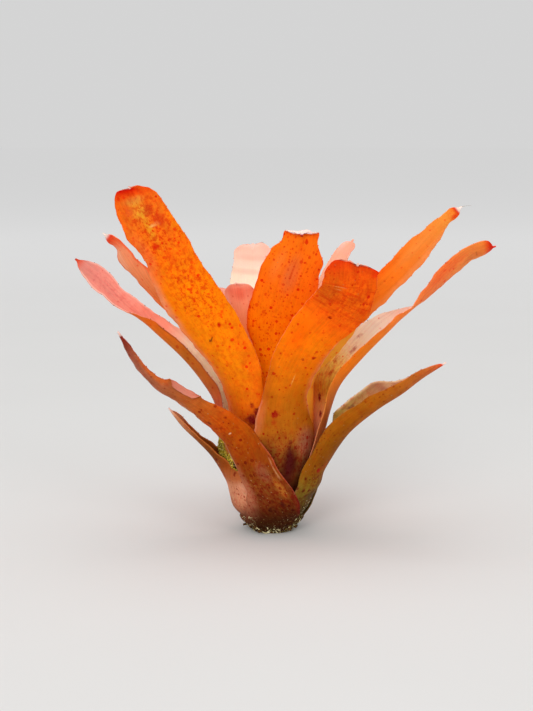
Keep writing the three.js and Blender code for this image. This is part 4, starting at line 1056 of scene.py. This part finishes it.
class Nodes:
    """Short forms for the shader nodes used below."""

    def __init__(self, name):
        self.material = bpy.data.materials.new(name)
        self.material.use_nodes = True
        self.tree = self.material.node_tree
        self.shader = self.tree.nodes["Principled BSDF"]

    def put(self, node, name, value):
        """Sets an input to a value, or links a socket to it."""
        socket = node.inputs[name]
        if isinstance(value, bpy.types.NodeSocket):
            self.tree.links.new(value, socket)
        else:
            socket.default_value = value

    def new(self, kind, **inputs):
        """Node of a kind with its inputs set, where an input's name is one word."""
        node = self.tree.nodes.new("ShaderNode" + kind)
        for name, value in inputs.items():
            self.put(node, name, value)
        return node

    def math(self, operation, a, b=0.0):
        node = self.new("Math")
        node.operation = operation
        self.put(node, 0, a)
        self.put(node, 1, b)
        return node.outputs[0]

    def total(self, *values):
        value = values[0]
        for other in values[1:]:
            value = self.math("ADD", value, other)
        return value

    def times(self, *values):
        value = values[0]
        for other in values[1:]:
            value = self.math("MULTIPLY", value, other)
        return value

    def swing(self, value, size):
        """A texture value of 0 to 1 as a swing to both sides of 0."""
        return self.times(self.math("SUBTRACT", value, 0.5), size)

    def step(self, value, low, high):
        """Ease from 0 at low to 1 at high."""
        node = self.new("MapRange", Value=value)
        node.interpolation_type = "SMOOTHSTEP"
        self.put(node, "From Min", low)
        self.put(node, "From Max", high)
        return node.outputs["Result"]

    def mix(self, factor, a, b, blend="MIX"):
        """Blend of a and b: a alone where factor is 0."""
        node = self.new("Mix")
        node.data_type = "RGBA"
        node.blend_type = blend
        self.put(node, 0, factor)
        self.put(node, 6, a)
        self.put(node, 7, b)
        return node.outputs[2]

    def tinted(self, factor, base, shares):
        """Base with its red, green and blue multiplied by shares where factor is 1."""
        return self.mix(factor, base, self.mix(1.0, base, (*shares, 1.0), "MULTIPLY"))

    def attribute(self, name):
        node = self.new("Attribute")
        node.attribute_name = name
        return node

    def split(self, vector):
        """The three numbers of a vector."""
        return self.new("SeparateXYZ", Vector=vector).outputs

    def stretch(self, vector, x, y, z=1.0):
        """A vector with its three numbers multiplied."""
        node = self.new("VectorMath")
        node.operation = "MULTIPLY"
        self.put(node, 0, vector)
        self.put(node, 1, (x, y, z))
        return node.outputs[0]

    def noise(self, vector, scale, detail=2.0, rough=0.5):
        return self.new("TexNoise", Vector=vector, Scale=scale, Detail=detail, Roughness=rough).outputs["Fac"]

    def cells(self, vector, scale):
        """Distance to the nearest scattered point, and that point's random colour."""
        node = self.new("TexVoronoi")
        node.voronoi_dimensions = "2D"
        self.put(node, "Vector", vector)
        self.put(node, "Scale", scale)
        return node.outputs["Distance"], self.split(node.outputs["Color"])

    def bump(self, height, distance):
        """Normal for a relief, where distance is its depth in metres."""
        return self.new("Bump", Height=height, Distance=distance).outputs[0]

    def finish(self, base, roughness, specular):
        """Sets the base colour, the roughness and how much the surface shines."""
        self.put(self.shader, "Base Color", base)
        self.put(self.shader, "Roughness", roughness)
        self.put(self.shader, "Specular IOR Level", specular)
        return self.material


def grey(value):
    """Opaque grey of one brightness."""
    return (value, value, value, 1.0)


def dots(n, at, wobble, scale, density, small, large):
    """Uneven spots, small to large millimetres in radius, one in some of the cells, some of them faint."""
    distance, chance = n.cells(at, scale)
    radius = n.total(n.times(n.math("POWER", chance[0], 1.8), (large - small) * scale), small * scale)
    edge = n.math("SUBTRACT", n.total(distance, n.times(wobble, 0.9 * scale)), radius)
    mask = n.math("SUBTRACT", 1.0, n.step(edge, -0.2 * scale, 0.16 * scale))
    present = n.step(n.math("SUBTRACT", density, chance[1]), -0.02, 0.02)
    return n.times(mask, present, n.total(0.45, n.times(chance[2], 0.55)))


# Red, green and blue of marks on a leaf, as shares of the tissue round them
SPOT_SHADE = (0.92, 0.12, 0.06)
SLOT_SPOT_SHADES = {"leaf_ember": (0.78, 0.12, 0.08), "leaf_ochre": (0.55, 0.16, 0.14),
                    "leaf_cream": (0.85, 0.3, 0.28), "leaf_salmon": (0.8, 0.3, 0.26)}
BLOTCH_SHADE = (0.94, 0.5, 0.4)
GAP_SHADE = (1.0, 1.24, 1.2)
RUST_SHADE = (0.84, 0.34, 0.32)
RUST_GAP_SHADE = (1.03, 1.5, 1.3)
BAND_SHADE = (0.86, 0.5, 0.42)
SCURF_COLOUR = (0.36, 0.25, 0.11, 1.0)


def tissue_colour(n, at, fine, grain, mottle, streak, bands, rust):
    """The leaf's own tint under clouds, lengthwise streaks, blotches, rust mottle and dark cross bands."""
    tint = n.attribute("tint").outputs["Color"]
    clouds = n.noise(at, 0.13, 4.0, 0.6)
    blotch = n.noise(n.stretch(at, 0.34, 0.24), 1.0, 5.0, 0.62)
    veins = n.noise(n.stretch(at, 1.0, 0.018), 1.0, 2.0, 0.5)
    cross = n.noise(n.stretch(at, 0.06, 0.36), 1.0, 4.0, 0.65)
    freckle = n.noise(n.stretch(at, 0.4, 0.3), 1.0, 5.0, 0.7)
    shade = n.total(n.times(n.swing(clouds, 0.9), mottle), n.times(n.swing(grain, 0.6), streak),
                    n.times(n.swing(veins, 0.7), streak), n.swing(fine, 0.24), 0.5)
    base = n.mix(1.0, tint, n.mix(shade, grey(0.62), grey(1.38)), "MULTIPLY")
    base = n.tinted(n.times(n.step(blotch, 0.5, 0.68), mottle, 0.5), base, BLOTCH_SHADE)
    base = n.tinted(n.times(n.step(blotch, 0.46, 0.3), mottle, 0.5), base, GAP_SHADE)
    base = n.tinted(n.times(n.step(freckle, 0.5, 0.58), rust), base, RUST_SHADE)
    base = n.tinted(n.times(n.step(freckle, 0.47, 0.38), rust, 0.75), base, RUST_GAP_SHADE)
    return n.tinted(n.times(n.step(cross, 0.46, 0.6), bands), base, BAND_SHADE)


def stained(n, at, base, stain):
    """Base with ragged stains over it, in the stains' own colours."""
    stain_tint = n.attribute("stain_tint").outputs["Color"]
    ragged = n.noise(at, 0.6, 5.0, 0.7)
    share = n.step(n.total(stain, n.swing(ragged, 1.3)), 0.25, 0.95)
    return n.mix(n.times(share, n.step(stain, 0.02, 0.3)), base, stain_tint)


def spotted(n, at, base, wobble, density, shade):
    """Base with large and small spots, closer together in some patches than in others."""
    patches = n.noise(at, 0.085, 2.0, 0.5)
    density = n.times(density, n.total(0.35, n.times(patches, 1.3)))
    large = dots(n, at, wobble, 0.22, density, 0.45, 1.15)
    small = dots(n, n.stretch(at, 1.0, 0.9), wobble, 0.4, density, 0.2, 0.62)
    return n.tinted(n.math("MAXIMUM", large, n.times(small, 0.8)), base, shade)


def leaf_material(name):
    """Waxy leaf tissue: painted tint, ragged stains, red spots and scurf. Noise scales are per millimetre,
    across and along the leaf."""
    n = Nodes(name + "_tissue")
    uv = n.new("UVMap")
    uv.uv_map = "Leaf"
    at = uv.outputs[0]
    density, stain, mottle = n.split(n.attribute("marks").outputs["Vector"])
    streak, scurf, bands = n.split(n.attribute("extra").outputs["Vector"])
    rust = n.attribute("rust").outputs["Fac"]
    fine = n.noise(at, 1.5, 3.0, 0.6)
    grain = n.noise(n.stretch(at, 2.3, 0.07), 1.0, 3.0, 0.6)
    scale = n.noise(at, 0.9, 6.0, 0.75)
    wobble = n.math("SUBTRACT", fine, 0.5)

    base = tissue_colour(n, at, fine, grain, mottle, streak, bands, rust)
    base = stained(n, at, base, stain)
    base = spotted(n, at, base, wobble, density, SLOT_SPOT_SHADES.get(name, SPOT_SHADE))
    flecks = dots(n, at, wobble, 0.9, n.times(scurf, 0.5), 0.1, 0.4)
    crust = n.times(n.step(scale, 0.56, 0.7), scurf, 0.4)
    base = n.mix(n.math("MAXIMUM", n.times(flecks, 0.7), crust), base, SCURF_COLOUR)

    height = n.total(n.times(grain, 0.6), n.times(fine, 0.3), n.times(crust, 1.2))
    n.put(n.shader, "Normal", n.bump(height, 0.00022))
    n.put(n.shader, "Subsurface Weight", 0.08)
    n.put(n.shader, "Subsurface Radius", (1.0, 0.35, 0.12))
    n.put(n.shader, "Subsurface Scale", 0.0012)
    return n.finish(base, n.total(0.4, n.times(fine, 0.16), n.times(scurf, 0.3)), 0.03)


def stem_material(name):
    """Fibrous brown stem with paler torn fibres."""
    n = Nodes(name)
    at = n.new("TexCoord").outputs["Object"]
    tint = n.attribute("tint").outputs["Color"]
    coarse = n.noise(at, 260.0, 5.0, 0.65)
    fine = n.noise(at, 1400.0, 4.0, 0.7)
    fibre = n.noise(n.stretch(at, 900.0, 900.0, 130.0), 1.0, 4.0, 0.65)
    shade = n.total(n.times(coarse, 0.8), n.times(fibre, 0.5))
    base = n.mix(1.0, tint, n.mix(n.step(shade, 0.4, 0.9), grey(0.4), grey(1.6)), "MULTIPLY")
    base = n.tinted(n.times(n.step(fine, 0.6, 0.7), 0.5), base, (2.0, 1.9, 1.7))
    n.put(n.shader, "Normal", n.bump(n.total(n.times(fibre, 0.7), n.times(fine, 0.5)), 0.0005))
    return n.finish(base, n.total(0.7, n.times(fine, 0.25)), 0.15)


def floor_material():
    """Matt pale floor that grows paler with distance, so that it runs into the pale surroundings. The change
    is painted light: it evens out the lamps' light, which is strong near the plant and falls off far from it.
    """
    n = Nodes("pale_floor")
    at = n.new("TexCoord").outputs["Object"]
    x, y, _ = n.split(at)
    far = n.math("SQRT", n.total(n.times(x, x), n.times(y, y)))
    near = n.mix(n.noise(at, 3.0, 3.0, 0.5), (0.74, 0.735, 0.725, 1.0), (0.78, 0.775, 0.765, 1.0))
    # Painted light: paler far out, where little lamp light falls
    base = n.mix(n.step(far, 0.4, 3.0), near, grey(0.99))
    return n.finish(base, n.total(0.8, n.times(n.noise(at, 40.0), 0.1)), 0.0)


def tube(path, radii, sides):
    """Points and faces of a closed tapered tube along a path."""
    path = np.asarray(path, float)
    along = unit(np.gradient(path, axis=0))
    helper = np.array([0, 0, 1.0]) if abs(along[0, 2]) < 0.9 else np.array([1.0, 0, 0])
    u = unit(np.cross(along, helper))
    v = np.cross(along, u)
    turn = np.linspace(0, CIRCLE, sides, endpoint=False)
    ring = u[:, None] * np.cos(turn)[None, :, None] + v[:, None] * np.sin(turn)[None, :, None]
    points = (path[:, None] + ring * np.asarray(radii, float)[:, None, None]).reshape(-1, 3)
    return points, lathe_faces(len(path), sides)


def lathe_faces(rows, sides):
    """Quads between rings of points, and a cap at each end."""
    faces = []
    for i in range(rows - 1):
        for k in range(sides):
            n = (k + 1) % sides
            faces.append([i * sides + k, i * sides + n, (i + 1) * sides + n, (i + 1) * sides + k])
    last = (rows - 1) * sides
    faces.append(list(range(sides))[::-1])
    faces.append([last + k for k in range(sides)])
    return faces


def stem_skin():
    """Cut stem with root stubs, torn fibres, crumbs of litter and a tuft of moss."""
    draw = np.random.default_rng(STEM_SEED)
    skin = Skin()
    add_stem(skin)
    add_roots(skin)
    add_fibres(skin, draw)
    add_crumbs(skin, draw)
    add_moss(skin, draw)
    return skin


def add_stem(skin):
    """Cut stem with leaf-scar ridges, pale on the cut."""
    seat = FOOT_RADIUS - SEAT_CLEARANCE - STEM_SEAT
    crown = FOOT_HEIGHT + (LAYERS - 0.5) * LAYER_RISE
    profile = [(0.02, 0.05), (CUT_RADIUS * 0.4, 0.05), (CUT_RADIUS * 0.8, 0.02)]
    profile += [(radius, z) for z, radius in STEM_LINE]
    profile += [(seat, FOOT_HEIGHT), (seat - LAYER_INSET * 5, FOOT_HEIGHT + LAYER_RISE * 5),
                (seat - LAYER_INSET * (LAYERS - 0.5), crown), (2.6, crown + 1.8), (0.02, crown + 2.4)]
    at = np.linspace(0, len(profile) - 1, STEM_ROWS)
    radius, height = [np.interp(at, range(len(profile)), [p[k] for p in profile]) for k in (0, 1)]
    turn = np.linspace(0, CIRCLE, STEM_SIDES, endpoint=False)
    radius, _ = np.meshgrid(radius, turn, indexing="ij")
    height, turn = np.meshgrid(height, turn, indexing="ij")
    lumps = sum(size * np.sin(count * turn + twist * height) for size, count, twist in STEM_LUMPS)
    ridges = 0.25 * np.sin(3.4 * height + 1.2 * np.sin(2 * turn))
    radius = radius + (lumps + ridges) * smooth((height - 0.3) / 1.5) * smooth((7 - height) / 2)
    points = np.stack([radius * np.cos(turn), radius * np.sin(turn), height], -1)
    cut = (smooth((1.2 - height) / 1.2) * smooth((CUT_RADIUS + 0.2 - radius) / 0.8))[..., None]
    tint = linear((70, 42, 16)) * (1 - cut) + linear((150, 118, 66)) * cut
    skin.add(points, lathe_faces(STEM_ROWS, STEM_SIDES), tint=tint)


def outside_radius(z, turn):
    """Radius of the outermost surface near the base, where crumbs and fibres can lie."""
    bearing = turn % 360
    layer = int(any(start < bearing < stop for start, stop in SECOND_LAYER_SHOWS))
    if z < HEM_BOTTOM:
        return along_line(STEM_LINE, z)
    if z < FOOT_HEIGHT + layer * LAYER_RISE:
        return along_line(HEM_LINE, z) - HEM_INSET * layer + SHEATH_THICKNESS / 2
    return cup_radius(z, layer) + SHEATH_THICKNESS / 2


def root_draws(seed):
    """The run of random numbers that places the solid's root stubs."""
    state = seed
    while True:
        state = (state * 1664525 + 1013904223) % 4294967296
        yield state / 4294967296


def add_roots(skin):
    """Short root stubs round the stem, where the solid has its own."""
    numbers = root_draws(STEM_SEED)
    for k in range(ROOT_COUNT):
        a, b, c, d, e, g = [next(numbers) for _ in range(6)]
        turn = 360 * (k + 0.9 * a) / ROOT_COUNT
        z = 1.6 + 4.6 * b
        radius = 0.7 + 0.6 * c
        inside = compass(turn, CUT_RADIUS - 3.5, z + 1.2)
        reach = CUT_RADIUS + 0.7 * z + 0.8 + 3.2 * d ** 2
        end = compass(turn + 24 * (g - 0.5), reach, max(z - 1.6 * e, radius + 0.2))
        shares = np.linspace(0, 1, 8)
        bow = np.array([0.3 * math.sin(5 * k), 0.3 * math.cos(7 * k), 0.2 * math.sin(11 * k)])
        path = [inside + (end - inside) * s + bow * math.sin(s * math.pi) for s in shares]
        radii = [(radius + 0.3 - 0.55 * radius * s) * (1 + 0.1 * math.sin(13 * s + k)) for s in shares]
        points, faces = tube(path, radii, 10)
        skin.add(points, faces, tint=linear((104, 72, 36)) * (0.55 + 0.6 * a))


def add_fibres(skin, draw, count=200):
    """Torn fibres and root hairs that cling to the base, and one pale root thread at the front."""
    base_radius = 17
    degrees_a_radian = 57.3
    for k in range(count):
        turn = draw.uniform(0, 360)
        z = 0.4 + 9 * draw.uniform() ** 2
        length = draw.uniform(1.2, 4.5)
        heading = unit(draw.normal(0, 1.0, 2))
        lift = draw.uniform(0.0, 0.7)
        path = []
        for s in np.linspace(0, 1, 6):
            a = turn + heading[0] * length * s / base_radius * degrees_a_radian
            h = min(max(z + heading[1] * length * 0.6 * s, 0.25), 14)
            clear = 0.05 + lift * s ** 2 + 0.2 * math.sin(s * 7 + k)
            path.append(compass(a, outside_radius(h, a) + clear, h))
        width = draw.uniform(0.06, 0.16)
        points, faces = tube(path, [width * share for share in (1, 1, 0.9, 0.7, 0.5, 0.2)], 4)
        colour = (222, 206, 150) if draw.uniform() < 0.4 else (104, 70, 34)
        skin.add(points, faces, tint=linear(colour) * draw.uniform(0.6, 1.1))
    thread = [(-9.6, -13.2, 4.4), (-8.6, -13.4, 3.2), (-7.4, -13.2, 2.3), (-6.2, -13.6, 1.5),
              (-4.6, -13.9, 0.8), (-2.8, -13.4, 0.5)]
    path = centripetal(thread, 6)
    points, faces = tube(path, np.full(len(path), 0.26), 6)
    skin.add(points, faces, tint=linear((236, 222, 170)))


def crumb_form():
    """Corners and faces of an icosahedron about 1 millimetre in radius."""
    golden = (1 + 5 ** 0.5) / 2
    corners = [(-1, golden, 0), (1, golden, 0), (-1, -golden, 0), (1, -golden, 0), (0, -1, golden),
               (0, 1, golden), (0, -1, -golden), (0, 1, -golden), (golden, 0, -1), (golden, 0, 1),
               (-golden, 0, -1), (-golden, 0, 1)]
    faces = [[0, 11, 5], [0, 5, 1], [0, 1, 7], [0, 7, 10], [0, 10, 11], [1, 5, 9], [5, 11, 4], [11, 10, 2],
             [10, 7, 6], [7, 1, 8], [3, 9, 4], [3, 4, 2], [3, 2, 6], [3, 6, 8], [3, 8, 9], [4, 9, 5],
             [2, 4, 11], [6, 2, 10], [8, 6, 7], [9, 8, 1]]
    return np.array(corners) / 1.9, faces


def first_above(value, kinds):
    """Colour of the first kind whose limit lies above a random value."""
    return next(colour for limit, colour in kinds if value < limit)


def add_crumbs(skin, draw, count=520):
    """Crumbs of bark, moss and dry scale stuck low on the base, most of them at the bottom and the right."""
    corners, faces = crumb_form()
    kinds = [(0.5, (246, 234, 180)), (0.72, (140, 120, 48)), (1.0, (54, 32, 12))]
    smallest = 0.16
    for k in range(count):
        turn = draw.uniform(0, 360)
        z = 0.4 + 5.0 * draw.uniform() ** 1.8
        largest = 0.75
        if k % 4 == 0:
            turn = draw.normal(-33, 9)
            z = 3 + 19 * draw.uniform() ** 1.4
            largest = 0.36
        if k % 9 == 1:
            turn = draw.normal(220, 14)
            z = 3 + 9 * draw.uniform()
            largest = 0.36
        size = smallest + (largest - smallest) * draw.uniform() ** 1.7
        stretch = draw.uniform(0.5, 1.3, 3)
        centre = compass(turn, outside_radius(z, turn) + 0.1, max(z, size + 0.05))
        points = centre + corners * size * stretch * draw.uniform(0.75, 1.2, (len(corners), 1))
        tint = linear(first_above(draw.uniform(), kinds)) * draw.uniform(0.6, 1.15)
        skin.add(points, faces, tint=tint)
    at_front = compass(-100, 13.3, 1.0)
    skin.add(at_front + corners * (0.9, 0.7, 0.7), faces, tint=linear((250, 240, 196)))


def add_moss(skin, draw, count=1100):
    """Moss between the two lowest leaves at the left: two heaps of fine crumbs on the sheath behind them."""
    corners, faces = crumb_form()
    behind = 2
    high = (184, 52, 3.4)
    low = (208, 44, 1.0)
    for k in range(count):
        middle_turn, middle_height, rise = low if k % 3 == 0 else high
        turn = middle_turn + 15 * draw.uniform(-1, 1)
        z = middle_height + 7.5 * draw.uniform(-1, 1)
        swell = rise * (1 - ((turn - middle_turn) / 17) ** 2) * (1 - ((z - middle_height) / 9) ** 2)
        centre = compass(turn, cup_radius(z, behind) + 0.6 + swell * draw.uniform(0.6, 1), z)
        points = centre + corners * draw.uniform(0.2, 0.52) * draw.uniform(0.6, 1.4, (len(corners), 1))
        if draw.uniform() < 0.15:
            colour = (216, 196, 104)
        else:
            colour = first_above(draw.uniform(), [(0.7, (198, 172, 48)), (1.0, (166, 146, 40))])
        skin.add(points, faces, tint=linear(colour) * draw.uniform(0.85, 1.1))


def place(piece, node):
    """Hangs a piece on the root body, in place of a node of the solids, which it hides."""
    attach(piece, "root")
    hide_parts(node)


def build_plant():
    """All the leaves and the stem, with one material for each slot."""
    materials = {}
    for index, (name, leaf) in enumerate(LEAVES.items()):
        slot = leaf["slot"]
        if slot not in materials:
            materials[slot] = leaf_material(slot)
        piece = leaf_skin(name, index).build(name + "_fine", materials[slot])
        place(piece, name)
    stem = stem_skin().build("stem_fine", stem_material("stem_fibre"))
    place(stem, "stem")


# Studio, in metres: half the floor's side, the point that the lamps aim at, and each lamp's name, place,
# size, power, colour and spread in degrees
FLOOR_HALF = 20.0
LAMP_AIM = (0, 0, 0.1)
LAMPS = [("key", (-0.55, -2.4, 1.25), 1.2, 3.2, (1.0, 0.99, 0.97), 60),
         ("fill", (1.9, -2.1, 1.0), 1.4, 1.15, (0.98, 0.99, 1.0), 60),
         ("top", (-0.1, 0.3, 2.4), 1.8, 12, (1.0, 1.0, 1.0), 180)]
WORLD_STRENGTH = 0.66


def build_floor():
    """Wide square floor, which belongs to the studio."""
    half = FLOOR_HALF
    mesh = bpy.data.meshes.new("floor")
    corners = [(-half, -half, 0), (half, -half, 0), (half, half, 0), (-half, half, 0)]
    mesh.from_pydata(corners, [], [(0, 1, 2, 3)])
    mesh.materials.append(floor_material())
    floor = bpy.data.objects.new("floor", mesh)
    bpy.context.scene.collection.objects.link(floor)


def area_light(name, location, size, power, colour, spread):
    """Round lamp that faces the plant."""
    data = bpy.data.lights.new(name, "AREA")
    data.shape = "DISK"
    data.size = size
    data.energy = power
    data.spread = math.radians(spread)
    data.color = colour
    light = bpy.data.objects.new(name, data)
    light.location = location
    light.rotation_euler = (Vector(LAMP_AIM) - Vector(location)).to_track_quat("-Z", "Y").to_euler()
    bpy.context.scene.collection.objects.link(light)


def build_light():
    """The lamps, and an even white world round them."""
    for lamp in LAMPS:
        area_light(*lamp)
    world = bpy.data.worlds.new("studio")
    world.use_nodes = True
    background = world.node_tree.nodes["Background"]
    background.inputs["Color"].default_value = grey(1.0)
    background.inputs["Strength"].default_value = WORLD_STRENGTH
    bpy.context.scene.world = world
    bpy.context.scene.view_settings.view_transform = "Standard"


# The photo is 533 by 711 pixels. Its middle looks at this point, where a pixel covers 0.62 millimetres.
CAMERA_TARGET = Vector((-3.4, 0.0, 110.0)) * MM
CAMERA_DISTANCE = 1.0
CAMERA_ELEVATION = math.radians(8)
FRAME_HEIGHT_PIXELS = 711
MM_PER_PIXEL = 0.62
SENSOR = 36.0


def build_camera():
    """Camera in front of the plant and a little above it, framed like the photo."""
    data = bpy.data.cameras.new("camera")
    data.sensor_width = SENSOR
    data.lens = SENSOR * CAMERA_DISTANCE / (FRAME_HEIGHT_PIXELS * MM_PER_PIXEL * MM)
    data.clip_start = 0.01
    data.clip_end = 100
    camera = bpy.data.objects.new("camera", data)
    back = Vector((0, -math.cos(CAMERA_ELEVATION), math.sin(CAMERA_ELEVATION)))
    camera.location = CAMERA_TARGET + back * CAMERA_DISTANCE
    camera.rotation_euler = (-back).to_track_quat("-Z", "Y").to_euler()
    bpy.context.scene.collection.objects.link(camera)
    bpy.context.scene.camera = camera


build_camera()
build_plant()
build_floor()
build_light()

bpy.context.view_layer.update()
